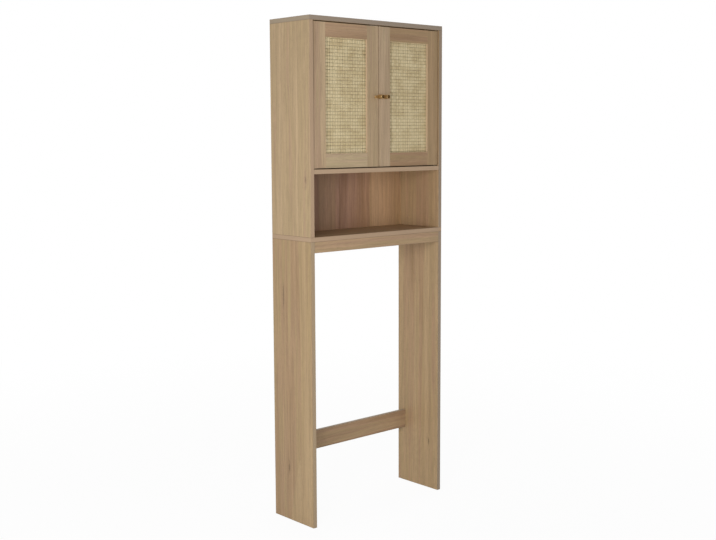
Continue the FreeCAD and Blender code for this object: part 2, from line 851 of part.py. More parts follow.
def make_knob_screw(label, column):
    """Make the screw that holds a knob from behind the door: its head, then its shank."""
    body = new_body(label)
    shank = "door_thickness + screw_in_knob"
    start = (ZERO, ZERO, ZERO)
    add_prism(body, "Additive", "XZ_Plane", start, "screw_head_radius", "screw_head_height")
    start = (ZERO, ZERO, "screw_head_height")
    add_prism(body, "Additive", "XZ_Plane", start, "screw_radius", shank)
    middle = "door_bottom + door_height / 2"
    move(body, (column, "door_back + screw_head_height - front_offset", middle))


def make_door(side):
    """Make one door: its frame, cane, beads, pins, knob, screw and strike plate."""
    on_left = side == "left"
    left_edge = "side_gap - inner_half" if on_left else "centre_gap / 2"
    right_stile = f"{left_edge} + door_width - stile_width"
    if on_left:
        hinge = make_stile("left_hinge_stile", left_edge, "right")
        meeting = make_stile("left_meeting_stile", right_stile, "left")
        knob_column = "stile_width - knob_inset"
        pin_column = "pivot_inset"
        strike_left = "-centre_gap / 2 - magnet_inset - strike_width"
        column = "-pivot_x"
        knob_x = "-centre_gap / 2 - knob_inset"
    else:
        hinge = make_stile("right_hinge_stile", right_stile, "left")
        meeting = make_stile("right_meeting_stile", left_edge, "right")
        knob_column = "knob_inset"
        pin_column = "stile_width - pivot_inset"
        strike_left = "centre_gap / 2 + magnet_inset"
        column = "pivot_x"
        knob_x = "centre_gap / 2 + knob_inset"
    for face in ("bottom", "top"):
        pin_hole = [(pin_column, "pivot_depth")]
        hinge.drill(face, pin_hole, "pin_radius + fixing_fit", "pin_in_door + fixing_fit")
    screw_hole = [(knob_column, "door_height / 2")]
    meeting.drill("front", screw_hole, "screw_radius + screw_clearance", "door_thickness")
    rail_left = f"{left_edge} + stile_width"
    low_rebate = "door_rail_width - rebate_width"
    top_rail_bottom = "door_bottom + door_height - door_rail_width"
    make_door_rail(f"{side}_bottom_rail", rail_left, "door_bottom", low_rebate, "tenon_shoulder")
    high_tenon = "rebate_width + tenon_shoulder"
    make_door_rail(f"{side}_top_rail", rail_left, top_rail_bottom, ZERO, high_tenon)
    make_cane_panel(f"{side}_cane_panel", left_edge)
    make_cane_beads(f"{side}_cane_beads", left_edge)
    door_top = "door_bottom + door_height"
    upper_start = f"{door_top} - pin_in_door"
    lower_start = "door_bottom + pin_in_door"
    pins = [
        make_pivot_pin(f"{side}_upper_pin", column, upper_start, Y_TO_UP),
        make_pivot_pin(f"{side}_lower_pin", column, lower_start, Y_TO_DOWN),
    ]
    make_group(f"{side}_pivot_pins", pins)
    make_knob(f"{side}_knob", knob_x)
    make_knob_screw(f"{side}_knob_screw", knob_x)
    size = ("strike_width", "strike_thickness", "strike_height")
    place = (strike_left, "door_back - front_offset", f"{door_top} - strike_height")
    make_board(f"{side}_strike_plate", size, place)


def check_document():
    """Stop if any object failed, or if a sub-part has no valid shape."""
    for item in doc.Objects:
        if "Invalid" in item.State or "Error" in item.State:
            raise RuntimeError(f"{item.Label} failed: {item.State}")
    for part in exported:
        if part.Shape.isNull() or not part.Shape.isValid():
            raise RuntimeError(f"{part.Label} has no valid shape")
        if not part.Shape.Solids:
            raise RuntimeError(f"{part.Label} holds no solid")


def export_parts():
    """Write each sub-part to a file named after its label."""
    os.makedirs("parts", exist_ok=True)
    for part in exported:
        part.Shape.exportStep(os.path.join("parts", f"{part.Label}.step"))
    print(f"{len(exported)} sub-parts written")


fill_sheet()
make_wide_boards()
make_side_panel("left_side_panel", "-half_width", "right")
make_side_panel("right_side_panel", "inner_half", "left")
make_leg_panel("left_leg_panel", "-half_width", "right")
make_leg_panel("right_leg_panel", "inner_half", "left")
make_cross_boards()
make_inner_shelf()
make_back_panel()
make_fittings()
make_wall_bracket("left_wall_bracket", "bracket_inset - inner_half")
make_wall_bracket("right_wall_bracket", "inner_half - bracket_inset - bracket_width")
make_catch()
make_pivot_bushes()
make_door("left")
make_door("right")
doc.recompute()
check_document()
export_parts()
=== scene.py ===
"""Looks of an over-toilet storage unit with an open niche and two cane doors.

The construction is loaded as a fixed frame. Each class below dresses one sub-assembly and adds the
pieces whose form or finish is finer than the construction: woven cane, turned knobs, screws, shelf
pegs and the covers of the cam locks. Lengths are in metres, worked out from the frame or written
as a number of millimetres times MM. The layers of a finish are in millimetres where it says so.
"""

import logging
import math
import random
from collections.abc import Iterable, Sequence
from dataclasses import KW_ONLY, dataclass, field, replace
from enum import Enum

import bmesh
import bpy
from mathutils import Matrix, Vector


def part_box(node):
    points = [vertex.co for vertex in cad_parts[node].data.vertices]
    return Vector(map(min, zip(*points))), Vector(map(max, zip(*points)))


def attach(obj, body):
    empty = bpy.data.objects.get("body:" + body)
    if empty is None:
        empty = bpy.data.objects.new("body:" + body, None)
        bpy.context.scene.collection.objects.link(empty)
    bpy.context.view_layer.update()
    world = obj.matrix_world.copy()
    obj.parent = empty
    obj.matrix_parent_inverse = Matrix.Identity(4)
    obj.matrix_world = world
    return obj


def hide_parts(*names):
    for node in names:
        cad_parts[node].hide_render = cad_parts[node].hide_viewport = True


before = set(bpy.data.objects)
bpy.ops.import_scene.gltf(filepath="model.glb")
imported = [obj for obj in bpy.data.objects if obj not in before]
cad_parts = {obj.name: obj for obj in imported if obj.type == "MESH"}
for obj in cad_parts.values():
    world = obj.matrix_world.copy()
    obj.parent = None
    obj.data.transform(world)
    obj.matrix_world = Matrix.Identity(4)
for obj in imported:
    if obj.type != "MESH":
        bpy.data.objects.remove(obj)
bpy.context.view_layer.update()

LOG = logging.getLogger("unit")
MM = 0.001
MM_PER_METRE = 1000.0
PHOTO_WIDTH = 716
PHOTO_HEIGHT = 540
WHITE = (1.0, 1.0, 1.0, 1.0)
NOISE_ROUGHNESS = 0.55
SHARP_ANGLE = math.radians(35)
MERGE_DISTANCE = 0.001 * MM

Socket = bpy.types.NodeSocket
Colour = tuple[float, float, float, float]
Shade = tuple[float, float, float]
Place = tuple[float, float, float]
Point = tuple[float, float]
Spot = tuple[Vector, Vector]
Box = tuple[Vector, Vector]

SOCKET_KINDS = {
    int: "NodeSocketInt",
    float: "NodeSocketFloat",
    Vector: "NodeSocketVector",
    bpy.types.Object: "NodeSocketObject",
    bpy.types.Material: "NodeSocketMaterial",
}


def paint(shade: Shade) -> Colour:
    """Turn a colour as the eye sees it into the linear colour that a shader takes.

    Args:
        shade: Red, green and blue, 0 to 255.

    Returns:
        The linear colour with full alpha.
    """

    def linear(level: float) -> float:
        """Undo the display curve for one channel."""
        share = level / 255
        return share / 12.92 if share <= 0.04045 else ((share + 0.055) / 1.055) ** 2.4

    return (*map(linear, shade), 1.0)


@dataclass(frozen=True)
class Layer:
    """A layer of soft noise: the size of its grains, how many finer layers it has, and its weight."""

    size: tuple[float, float, float]
    detail: float = 2.0
    weight: float = 1.0


class Wire:
    """What flows out of a socket. Sums with it add the nodes that work them out."""

    def __init__(self, bench: "Bench", socket: Socket) -> None:
        """Keep the socket, and the bench that adds the sums' nodes."""
        self.bench = bench
        self.socket = socket

    def __add__(self, other: object) -> "Wire":
        """Add a number."""
        return self.bench.math("ADD", self, other)

    def __sub__(self, other: object) -> "Wire":
        """Take a number away."""
        return self.bench.math("SUBTRACT", self, other)

    def __rsub__(self, other: object) -> "Wire":
        """Take this away from a number."""
        return self.bench.math("SUBTRACT", other, self)

    def __mul__(self, other: object) -> "Wire":
        """Multiply by a number."""
        return self.bench.math("MULTIPLY", self, other)

    def __truediv__(self, other: object) -> "Wire":
        """Divide by a number."""
        return self.bench.math("DIVIDE", self, other)

    def __abs__(self) -> "Wire":
        """Drop the sign."""
        return self.bench.math("ABSOLUTE", self)

    __radd__ = __add__
    __rmul__ = __mul__


Drawing = tuple[Wire, Wire, Wire]


def in_use(sockets: Iterable[Socket], name: str = "") -> Socket:
    """Find the first socket of a name that its node uses now, or the first of any name."""
    return next(socket for socket in sockets if socket.enabled and name in ("", socket.name))


class Bench:
    """Adds and joins the nodes of one tree."""

    def __init__(self, tree: bpy.types.NodeTree) -> None:
        """Keep the tree, a shader or geometry one, that the nodes go into."""
        self.tree = tree

    def feed(self, target: Socket, value: object) -> None:
        """Link a wire into a socket, or write a plain value on it.

        Args:
            target: The input to fill.
            value: A wire or a plain value.
        """
        if isinstance(value, Wire):
            self.tree.links.new(value.socket, target)
        else:
            target.default_value = value

    def add(self, kind: str, inputs: dict | None = None, **settings: object) -> bpy.types.Node:
        """Add a node.

        Args:
            kind: The node's type.
            inputs: Wires or plain values, by input name or number.
            settings: The node's own properties.

        Returns:
            The new node.
        """
        node = self.tree.nodes.new(kind)
        for name, value in settings.items():
            setattr(node, name, value)
        for key, value in (inputs or {}).items():
            self.feed(node.inputs[key] if isinstance(key, int) else in_use(node.inputs, key), value)
        return node

    def take(self, kind: str, inputs: dict | None = None, output: str = "", **settings: object) -> Wire:
        """Add a node and take one of its outputs: the one that is named, or else the first in use."""
        return Wire(self, in_use(self.add(kind, inputs, **settings).outputs, output))

    def math(self, operation: str, *values: object) -> Wire:
        """Add a number node with its operands in order."""
        return self.take("ShaderNodeMath", dict(enumerate(values)), operation=operation)

    def vector(self, operation: str, *values: object) -> Wire:
        """Add a vector node with its operands in order."""
        return self.take("ShaderNodeVectorMath", dict(enumerate(values)), operation=operation)

    def scale(self, vector: object, factor: object) -> Wire:
        """Multiply a vector or a colour by a number."""
        return self.take("ShaderNodeVectorMath", {0: vector, "Scale": factor}, operation="SCALE")

    def split(self, vector: Wire) -> list[Wire]:
        """Take a vector apart into its three numbers."""
        return [Wire(self, part) for part in self.add("ShaderNodeSeparateXYZ", {0: vector}).outputs]

    def join(self, across: object, deep: object, up: object) -> Wire:
        """Make a vector from three numbers."""
        return self.take("ShaderNodeCombineXYZ", {0: across, 1: deep, 2: up})

    def place(self) -> Wire:
        """Give the place on the piece, in metres."""
        return self.take("ShaderNodeTexCoord", output="Object")

    def millimetres(self) -> Wire:
        """Give the place on the piece, in millimetres."""
        return self.scale(self.place(), MM_PER_METRE)

    def facing(self) -> list[Wire]:
        """Give the way that the surface looks, as three numbers."""
        return self.split(self.take("ShaderNodeTexCoord", output="Normal"))

    def noise(self, point: Wire, layer: Layer) -> Wire:
        """Add a layer of noise, which is a number around one half.

        Args:
            point: Where it is read.
            layer: Its sizes, in the point's units.

        Returns:
            The number, which its weight doesn't change.
        """
        scaled = self.vector("DIVIDE", point, layer.size)
        inputs = {"Vector": scaled, "Scale": 1.0, "Detail": layer.detail, "Roughness": NOISE_ROUGHNESS}
        return self.take("ShaderNodeTexNoise", inputs)

    def swing(self, noise: Wire, width: object) -> Wire:
        """Turn a number around one half into a swing around zero."""
        return (noise - 0.5) * width

    def between(self, value: Wire, low: float, high: float) -> Wire:
        """Rise smoothly from 0 to 1 while a number goes from low to high."""
        inputs = {"Value": value, "From Min": low, "From Max": high}
        return self.take("ShaderNodeMapRange", inputs, interpolation_type="SMOOTHSTEP")

    def ramp(self, factor: Wire, stops: Sequence[tuple[float, Shade]]) -> Wire:
        """Colour a number along a row of stops.

        Args:
            factor: The number, 0 to 1.
            stops: Places and colours as the eye sees them, in order.

        Returns:
            The colour.
        """
        node = self.add("ShaderNodeValToRGB", {0: factor})
        elements = node.color_ramp.elements
        while len(elements) < len(stops):
            elements.new(1.0)
        for element, (place, shade) in zip(elements, stops):
            element.position = place
            element.color = paint(shade)
        return Wire(self, node.outputs["Color"])

    def mix(self, factor: Wire, first: object, second: object) -> Wire:
        """Mix two colours."""
        return self.take("ShaderNodeMix", {"Factor": factor, "A": first, "B": second}, data_type="RGBA")


def new_bench(owner: bpy.types.Material | bpy.types.World) -> Bench:
    """Turn on the nodes of a material or a world, and start them afresh.

    Args:
        owner: The material or the world.

    Returns:
        A bench for its empty tree.
    """
    owner.use_nodes = True
    owner.node_tree.nodes.clear()
    return Bench(owner.node_tree)


@dataclass(frozen=True)
class Finish:
    """A surface whose colour, roughness and height are drawn by each kind of finish in its own way."""

    name: str
    _: KW_ONLY
    prefix: str = ""
    metallic: float = 0.0
    specular: float = 0.5
    depth: float = 0.05 * MM

    def draw(self, bench: Bench) -> Drawing:
        """Draw the surface's colour, roughness and height."""
        raise NotImplementedError

    def build(self) -> bpy.types.Material:
        """Make the material.

        Returns:
            The material, where a drawn height of 1 stands as high as the depth.
        """
        material = bpy.data.materials.new(self.prefix + self.name)
        bench = new_bench(material)
        colour, rough, height = self.draw(bench)
        bump = bench.take("ShaderNodeBump", {"Strength": 1.0, "Distance": self.depth, "Height": height})
        shader = bench.take("ShaderNodeBsdfPrincipled", {
            "Base Color": colour,
            "Roughness": rough,
            "Metallic": self.metallic,
            "Specular IOR Level": self.specular,
            "Normal": bump,
        })
        bench.add("ShaderNodeOutputMaterial", {"Surface": shader})
        return material


class Run(Enum):
    """Which way a board's grain runs."""

    UPRIGHT = (0.0, 0.0, 0.0)
    LEVEL = (0.0, -math.pi / 2, 0.0)


class Wide(Enum):
    """Which way a board's wide faces look."""

    SIDEWAYS = 0
    FORWARD = 1
    UPWARD = 2


class Tone(Enum):
    """The middle colour of a board's veneer, as the eye sees it."""

    BLOND = (173, 148, 117)
    ASH = (171, 150, 121)
    PLAIN = (170, 143, 110)
    HONEY = (166, 140, 107)
    FAWN = (164, 140, 112)
    TAWNY = (163, 136, 106)
    RUSSET = (167, 138, 106)
    BROWN = (153, 126, 95)
    PRINT = (167, 132, 103)


class Tape(Enum):
    """The colour of the tape on a board's narrow edges, as the eye sees it."""

    OAK = (152, 134, 111)
    LEFT_SIDE = (165, 139, 113)
    LEFT_LEG = (157, 136, 109)
    RIGHT_GREY = (143, 126, 108)
    TOP_GREY = (144, 129, 113)
    # Paler tape for the top board's ends: painted light on the end that faces the key lamp.
    TOP_ENDS_PAINTED_LIGHT = (156, 140, 119)
    DECK = (166, 140, 114)
    SHELF = (171, 145, 118)
    # Pale tape on the doors' narrow edges: painted light, for the reveals round the cane that face the key
    # lamp.
    DOOR_PAINTED_LIGHT = (190, 165, 135)


VENEER_STREAKS = (
    (0.24, (10, 10, 7)),
    (0.38, (3, 3, 1)),
    (0.50, (-2, 0, -4)),
    (0.62, (1, -2, 0)),
    (0.80, (-13, -14, -14)),
)


@dataclass(frozen=True)
class Knot:
    """A small knot or mineral streak in the veneer, at a place in the frame, drawn out along the grain."""

    place: Place
    radius: float
    stretch: float = 3.3
    heart_share: float = 0.2
    rim_share: float = 1.2
    swirl_share: float = 3.0


@dataclass(frozen=True)
class OakFinish(Finish):
    """Matt light oak veneer with broad soft streaks, fine grain and short dark pores.

    The grain and the tape are drawn in millimetres. The knots, their ragged edges and the arrises are
    in metres.
    """

    run: Run
    wide: Wide
    tone: Tone
    knots: tuple[Knot, ...] = ()
    tape: Tape = Tape.OAK
    end_tape_painted_light: Tape | None = None
    _: KW_ONLY
    outline: Box | None = None
    contrast: float = 1.0
    streak_width: float = 58.0
    streak_length: float = 2600.0
    streak_weight: float = 0.42
    broad: Layer = Layer((26, 26, 900), 3.0, 1.10)
    ramp_shift: float = 0.26
    wander: Layer = Layer((70, 70, 460), 2.0, 24.0)
    streaks: Layer = Layer((8, 8, 320), 4.0, 0.58)
    fibres: Layer = Layer((1.1, 1.1, 80), 4.0, 0.50)
    rings: Layer = Layer((80, 80, 800), 1.0, 0.028)
    ring_turns: float = 170.0
    ring_waver: float = 5.0
    pores: Layer = Layer((0.55, 0.55, 13), 1.0, 0.20)
    pore_limits: Point = (0.58, 0.70)
    pore_depth: float = 0.5
    flecks: Layer = Layer((3.2, 3.2, 34), 2.0, 0.16)
    fleck_limits: Point = (0.62, 0.80)
    ragged: Layer = Layer((6 * MM, 6 * MM, 6 * MM), 2.0)
    knot_shade: float = 0.34
    swirl_shade: float = 0.07
    swirl_bend: float = 6.0
    tape_lines: Layer = Layer((150, 150, 150), 3.0, 0.34)
    tape_line_width: float = 1.5
    facing_limits: Point = (0.55, 0.85)
    arris_width: float = 1.5 * MM
    arris_shade: float = 0.26
    roughness: float = 0.50
    height_rough: float = 0.16
    reach: float = 900.0
    prefix: str = "oak_"
    specular: float = 0.32

    def grain(self, bench: Bench) -> tuple[Wire, Wire]:
        """Draw the veneer, each board from a place of its own.

        Args:
            bench: The material's bench.

        Returns:
            The colour, and the height of the grain between 0 and 1.
        """
        chance = random.Random(self.name)
        shift = tuple(chance.uniform(-self.reach, self.reach) for _ in range(3))
        place = bench.place()
        point = bench.take("ShaderNodeMapping", {
            "Vector": place,
            "Location": shift,
            "Rotation": self.run.value,
            "Scale": (MM_PER_METRE,) * 3,
        })
        core, swirl = self.knot_masks(bench, place)
        sideways = bench.noise(point, self.wander) * self.wander.weight + swirl * self.swirl_bend
        bent = bench.vector("ADD", point, bench.scale((1.0, 1.0, 0.0), sideways))
        cell = bench.vector("DIVIDE", bent, (self.streak_width, self.streak_width, self.streak_length))
        stave = bench.take("ShaderNodeTexVoronoi", {"Vector": cell, "Scale": 1.0}, "Color")
        broad = bench.noise(bent, self.broad) * self.broad.weight
        choice = bench.split(stave)[0] * self.streak_weight + broad - self.ramp_shift
        stops = [
            (at, tuple(level + self.contrast * offset for level, offset in zip(self.tone.value, offsets)))
            for at, offsets in VENEER_STREAKS
        ]
        streaks = bench.noise(bent, self.streaks)
        fibres = bench.noise(bent, self.fibres)
        rings = bench.noise(bent, self.rings) * self.ring_turns + streaks * self.ring_waver
        pores = bench.between(bench.noise(point, self.pores), *self.pore_limits)
        flecks = bench.between(bench.noise(bent, self.flecks), *self.fleck_limits)
        level = 1.0 + bench.swing(streaks, self.streaks.weight * self.contrast)
        level = level - flecks * self.flecks.weight + bench.swing(fibres, self.fibres.weight)
        level = level + bench.math("SINE", rings) * self.rings.weight - pores * self.pores.weight
        level = level - core * self.knot_shade - swirl * self.swirl_shade
        return bench.scale(bench.ramp(choice, stops), level), fibres - pores * self.pore_depth

    def knot_masks(self, bench: Bench, place: Wire) -> tuple[Wire | float, Wire | float]:
        """Mark the knots.

        Args:
            bench: The material's bench.
            place: The place on the board.

        Returns:
            Two numbers that are 1 in the middle of a knot and 0 away from all of them: one falls at
            the knot's own edge, and the other a few radii away, where the grain still swirls.
        """
        core = swirl = 0.0
        for knot in self.knots:
            along = 1.0 / knot.stretch
            squeeze = (1.0, 1.0, along) if self.run is Run.UPRIGHT else (along, 1.0, 1.0)
            offset = bench.vector("SUBTRACT", place, knot.place)
            away = bench.vector("LENGTH", bench.vector("MULTIPLY", offset, squeeze))
            torn = away + bench.swing(bench.noise(place, self.ragged), knot.radius)
            near = bench.between(torn, knot.radius * knot.heart_share, knot.radius * knot.rim_share)
            about = bench.between(torn, 0.0, knot.radius * knot.swirl_share)
            core = bench.math("MAXIMUM", core, 1.0 - near)
            swirl = bench.math("MAXIMUM", swirl, 1.0 - about)
        return core, swirl

    def band(self, bench: Bench) -> tuple[Wire, Wire]:
        """Draw the straight-grained tape that covers the board's narrow edges.

        A board may have paler tape on its left and right ends: painted light, as its left end faces the key
        lamp.

        Args:
            bench: The material's bench.

        Returns:
            1 on the narrow edges and 0 on the wide faces, and the tape's colour.
        """
        facing = bench.facing()
        narrow = 1.0 - bench.between(abs(facing[self.wide.value]), *self.facing_limits)
        size = list(self.tape_lines.size)
        size[self.wide.value] = self.tape_line_width
        lines = bench.noise(bench.millimetres(), replace(self.tape_lines, size=tuple(size)))
        tapes_with_painted_light_ends = [paint(tape.value) for tape in (self.tape, self.end_tape_painted_light or self.tape)]
        colour = bench.mix(bench.between(abs(facing[0]), *self.facing_limits), *tapes_with_painted_light_ends)
        return narrow, bench.scale(colour, 1.0 + bench.swing(lines, self.tape_lines.weight))

    def arrises(self, bench: Bench) -> Wire:
        """Mark the sharp edges of the board, or of the box that is given as its outline.

        A point's distances to the three pairs of the box's faces are compared: on an edge the two
        smallest are zero.

        Args:
            bench: The material's bench.

        Returns:
            1 on an edge, falling to 0 over the width of the shade.
        """
        low, high = self.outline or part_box(self.name)
        off = bench.vector("ABSOLUTE", bench.vector("SUBTRACT", bench.place(), (low + high) / 2))
        across, deep, up = bench.split(bench.vector("SUBTRACT", (high - low) / 2, off))
        second = bench.math("MINIMUM", bench.math("MAXIMUM", across, deep), up)
        second = bench.math("MAXIMUM", bench.math("MINIMUM", across, deep), second)
        return 1.0 - bench.between(second, 0.0, self.arris_width)

    def draw(self, bench: Bench) -> Drawing:
        """Draw veneer, with tape on the narrow edges and a weak painted shade on the sharp ones.

        Args:
            bench: The material's bench.

        Returns:
            The colour, the roughness and the height.
        """
        colour, height = self.grain(bench)
        narrow, tape = self.band(bench)
        # Painted shade along the arrises: partly a dark glue line at the tape's joint, and partly the shade
        # that falls in the gaps round the doors and at the joints between boards.
        level = 1.0 - self.arrises(bench) * self.arris_shade
        colour = bench.scale(bench.mix(narrow, colour, tape), level)
        return colour, self.roughness + height * self.height_rough, height


@dataclass(frozen=True)
class BackBoardFinish(OakFinish):
    """Thin board with a darker oak print in front and bare pressed fibre behind.

    The print is cooler and darker on its left and warmer and paler on its right: partly a change of print
    between the leaves, and partly painted shadow of the left side panel with painted light on the right. The
    layers are in millimetres.
    """

    _: KW_ONLY
    print_and_painted_shade_tint: Colour = (0.88, 0.87, 0.94, 1.0)
    print_and_painted_light_tint: Colour = (1.10, 1.12, 1.08, 1.0)
    painted_shade_until: float = -10 * MM
    painted_light_from: float = 170 * MM
    contrast: float = 1.25
    streak_width: float = 90.0
    broad: Layer = Layer((60, 60, 900), 3.0, 1.10)
    pressed: Layer = Layer((2.2, 2.2, 1.1), 4.0, 2.0)
    pressed_stops: tuple = ((0.30, (128, 98, 68)), (0.55, (151, 120, 87)), (0.80, (171, 143, 108)))
    clouds: Layer = Layer((110, 110, 150), 3.0, 0.20)
    behind_limits: Point = (-0.4, 0.4)
    behind_rough: float = 0.3
    roughness: float = 0.52
    prefix: str = "board_"

    def draw(self, bench: Bench) -> Drawing:
        """Draw a print on the faces that look forward, and fibre on the others.

        Args:
            bench: The material's bench.

        Returns:
            The colour, the roughness and the height.
        """
        colour, height = self.grain(bench)
        # Painted shade towards the left of the niche's back, where the left side panel casts its shadow, and
        # painted light towards the right, over the print's own change of tone.
        turn = bench.between(bench.split(bench.place())[0], self.painted_shade_until, self.painted_light_from)
        colour = bench.vector("MULTIPLY", colour, bench.mix(turn, self.print_and_painted_shade_tint, self.print_and_painted_light_tint))
        point = bench.millimetres()
        flecks = bench.noise(point, self.pressed)
        clouds = bench.swing(bench.noise(point, self.clouds), self.clouds.weight)
        fibre = bench.scale(bench.ramp(flecks, self.pressed_stops), 1.0 + clouds)
        behind = bench.between(bench.facing()[1], *self.behind_limits)
        raised = height + flecks * behind * self.pressed.weight
        return bench.mix(behind, colour, fibre), self.roughness + behind * self.behind_rough, raised


@dataclass(frozen=True)
class CaneFinish(Finish):
    """Split cane: glossy pale skin with darker streaks, strand by strand.

    The streaks and clouds follow each strand in millimetres, and the patches are in metres.
    """

    _: KW_ONLY
    streaks: Layer = Layer((0.45, 26, 1.0), 3.0, 0.26)
    clouds: Layer = Layer((60, 48, 9.0), 2.0, 0.22)
    patches: Layer = Layer((0.05, 0.05, 0.035), 2.0, 0.20)
    patch_limits: Point = (0.35, 0.68)
    tone_weight: float = 0.50
    stops: tuple = (
        (0.22, (162, 136, 95)),
        (0.42, (194, 172, 127)),
        (0.62, (212, 193, 149)),
        (0.90, (230, 214, 173)),
    )
    rim_limits: Point = (0.55, 1.0)
    rim_shade: float = 0.28
    dip_painted_shade_limits: Point = (0.0, 0.8)
    dip_painted_shade: float = 0.38
    roughness: float = 0.36
    streak_rough: float = 0.25
    depth: float = 0.04 * MM

    def draw(self, bench: Bench) -> Drawing:
        """Draw the strands through their own attributes.

        Args:
            bench: The material's bench.

        Returns:
            The colour, the roughness and the height.
        """
        look = bench.take("ShaderNodeAttribute", output="Vector", attribute_name="strand_look")
        path = bench.take("ShaderNodeAttribute", output="Vector", attribute_name="strand_path")
        tone, rise, edge = bench.split(look)
        streaks = bench.noise(path, self.streaks)
        clouds = bench.noise(path, self.clouds)
        patches = bench.between(bench.noise(bench.place(), self.patches), *self.patch_limits)
        choice = tone * self.tone_weight + streaks * self.streaks.weight
        choice = choice + clouds * self.clouds.weight + patches * self.patches.weight
        rim = 1.0 - bench.between(edge, *self.rim_limits) * self.rim_shade
        # Painted shade where the strands dip over and under the crossing bands, darkest where the weave lies
        # lowest.
        dip_painted_shade_level = (1.0 - self.dip_painted_shade) + bench.between(rise, *self.dip_painted_shade_limits) * self.dip_painted_shade
        colour = bench.scale(bench.ramp(choice, self.stops), rim * dip_painted_shade_level)
        return colour, self.roughness + streaks * self.streak_rough, streaks


@dataclass(frozen=True)
class FittingFinish(Finish):
    """A small fitting's surface: fine marks over soft clouds, in millimetres."""

    light: Shade
    dark: Shade
    roughness: float
    _: KW_ONLY
    marks: Layer
    clouds: Layer
    mark_rough: float = 0.0
    cloud_rough: float = 0.0
    places: Point = (0.3, 0.7)

    def draw(self, bench: Bench) -> Drawing:
        """Draw the marks and the clouds between the dark and the light colour.

        Args:
            bench: The material's bench.

        Returns:
            The colour, the roughness and the height.
        """
        point = bench.millimetres()
        marks = bench.noise(point, self.marks)
        clouds = bench.noise(point, self.clouds)
        choice = marks * self.marks.weight + clouds * self.clouds.weight
        colour = bench.ramp(choice, list(zip(self.places, (self.dark, self.light))))
        return colour, self.roughness + marks * self.mark_rough + clouds * self.cloud_rough, marks


@dataclass(frozen=True)
class TurnedMetalFinish(FittingFinish):
    """Metal with fine turning lines round an axis that runs front to back."""

    _: KW_ONLY
    marks: Layer = Layer((30, 0.22, 30), 2.0, 0.6)
    clouds: Layer = Layer((6, 9, 6), 3.0, 0.4)
    cloud_rough: float = 0.14
    depth: float = 0.012 * MM
    metallic: float = 1.0


@dataclass(frozen=True)
class MouldedFinish(FittingFinish):
    """Moulded plastic with a very fine texture."""

    roughness: float = 0.42
    _: KW_ONLY
    marks: Layer = Layer((0.5, 0.5, 0.5), 3.0, 0.0)
    clouds: Layer = Layer((9, 9, 9), 2.0, 1.0)
    mark_rough: float = 0.2
    depth: float = 0.02 * MM


class Finishes:
    """The finishes that several pieces share, each made once."""

    def __init__(self) -> None:
        """Make the shared materials."""
        self.cane = CaneFinish("cane_skin").build()
        self.brass = TurnedMetalFinish("brass", (212, 182, 134), (180, 150, 104), 0.34).build()
        self.patina = TurnedMetalFinish("patina", (92, 68, 34), (66, 46, 22), 0.42).build()
        # The pivot pins and bushes are coloured dark: painted shade, so that they read as the shaded gap at
        # the doors' corners.
        self.browned = TurnedMetalFinish("browned", (104, 88, 68), (80, 66, 48), 0.40).build()
        self.zinc = TurnedMetalFinish("zinc", (190, 190, 188), (150, 150, 150), 0.30).build()
        self.nylon = MouldedFinish("nylon", (226, 223, 214), (214, 210, 200)).build()
        self.tan_nylon = MouldedFinish("tan_nylon", (128, 106, 80), (112, 92, 68)).build()
        self.magnet = TurnedMetalFinish("magnet", (120, 118, 116), (92, 92, 92), 0.38).build()
        self.beech = OakFinish("dowels", Run.UPRIGHT, Wide.SIDEWAYS, Tone.BLOND, streak_width=9.0).build()


def dress(node: str, material: bpy.types.Material) -> None:
    """Give a part of the frame its finish.

    Args:
        node: The part's name.
        material: Its finish.
    """
    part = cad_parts[node]
    if not part.material_slots:
        part.data.materials.append(material)
    for slot in part.material_slots:
        slot.material = material
    LOG.info("dressed %s", node)


def put(name: str, data: bpy.types.ID) -> bpy.types.Object:
    """Make an object and link it into the scene.

    Args:
        name: The object's name.
        data: Its mesh, lamp or camera.

    Returns:
        The object, at the origin.
    """
    thing = bpy.data.objects.new(name, data)
    bpy.context.scene.collection.objects.link(thing)
    return thing


def add_piece(
    name: str,
    mesh: bpy.types.Mesh,
    body: str,
    stands_for: Iterable[str] = (),
) -> None:
    """Put a finished mesh into the scene as a piece of the object.

    Args:
        name: The piece's name.
        mesh: Its mesh, with its place in it.
        body: The body that it moves with.
        stands_for: The parts of the frame that it replaces.
    """
    piece = put(name, mesh)
    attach(piece, body)
    for node in stands_for:
        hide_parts(node)
    LOG.info("made %s: %d faces on %s", name, len(mesh.polygons), body)


def evaluated(thing: bpy.types.Object) -> bpy.types.Mesh:
    """Keep what an object's modifiers make of it, as a plain mesh."""
    graph = bpy.context.evaluated_depsgraph_get()
    return bpy.data.meshes.new_from_object(thing.evaluated_get(graph), depsgraph=graph)


def turn_profile(name: str, profile: Sequence[Point], segments: int) -> bpy.types.Mesh:
    """Turn a profile of radius and height about Z into a closed mesh.

    Args:
        name: The mesh's name.
        profile: Radius and height, from the axis to the axis.
        segments: How many faces go round.

    Returns:
        The mesh, with smooth faces and sharp corners.
    """
    shape = bmesh.new()
    turns = [2 * math.pi * step / segments for step in range(segments)]
    rings = []
    for radius, height in profile:
        angles = turns if radius else turns[:1]
        rings.append([shape.verts.new((radius * math.cos(a), radius * math.sin(a), height)) for a in angles])
    for lower, upper in zip(rings, rings[1:]):
        for step in range(segments):
            following = (step + 1) % segments
            corners = [lower[step % len(lower)], lower[following % len(lower)]]
            corners += [upper[following % len(upper)], upper[step % len(upper)]]
            shape.faces.new(list(dict.fromkeys(corners)))
    bmesh.ops.recalc_face_normals(shape, faces=shape.faces)
    mesh = bpy.data.meshes.new(name)
    shape.to_mesh(mesh)
    shape.free()
    mesh.shade_smooth()
    mesh.set_sharp_from_angle(angle=SHARP_ANGLE)
    return mesh


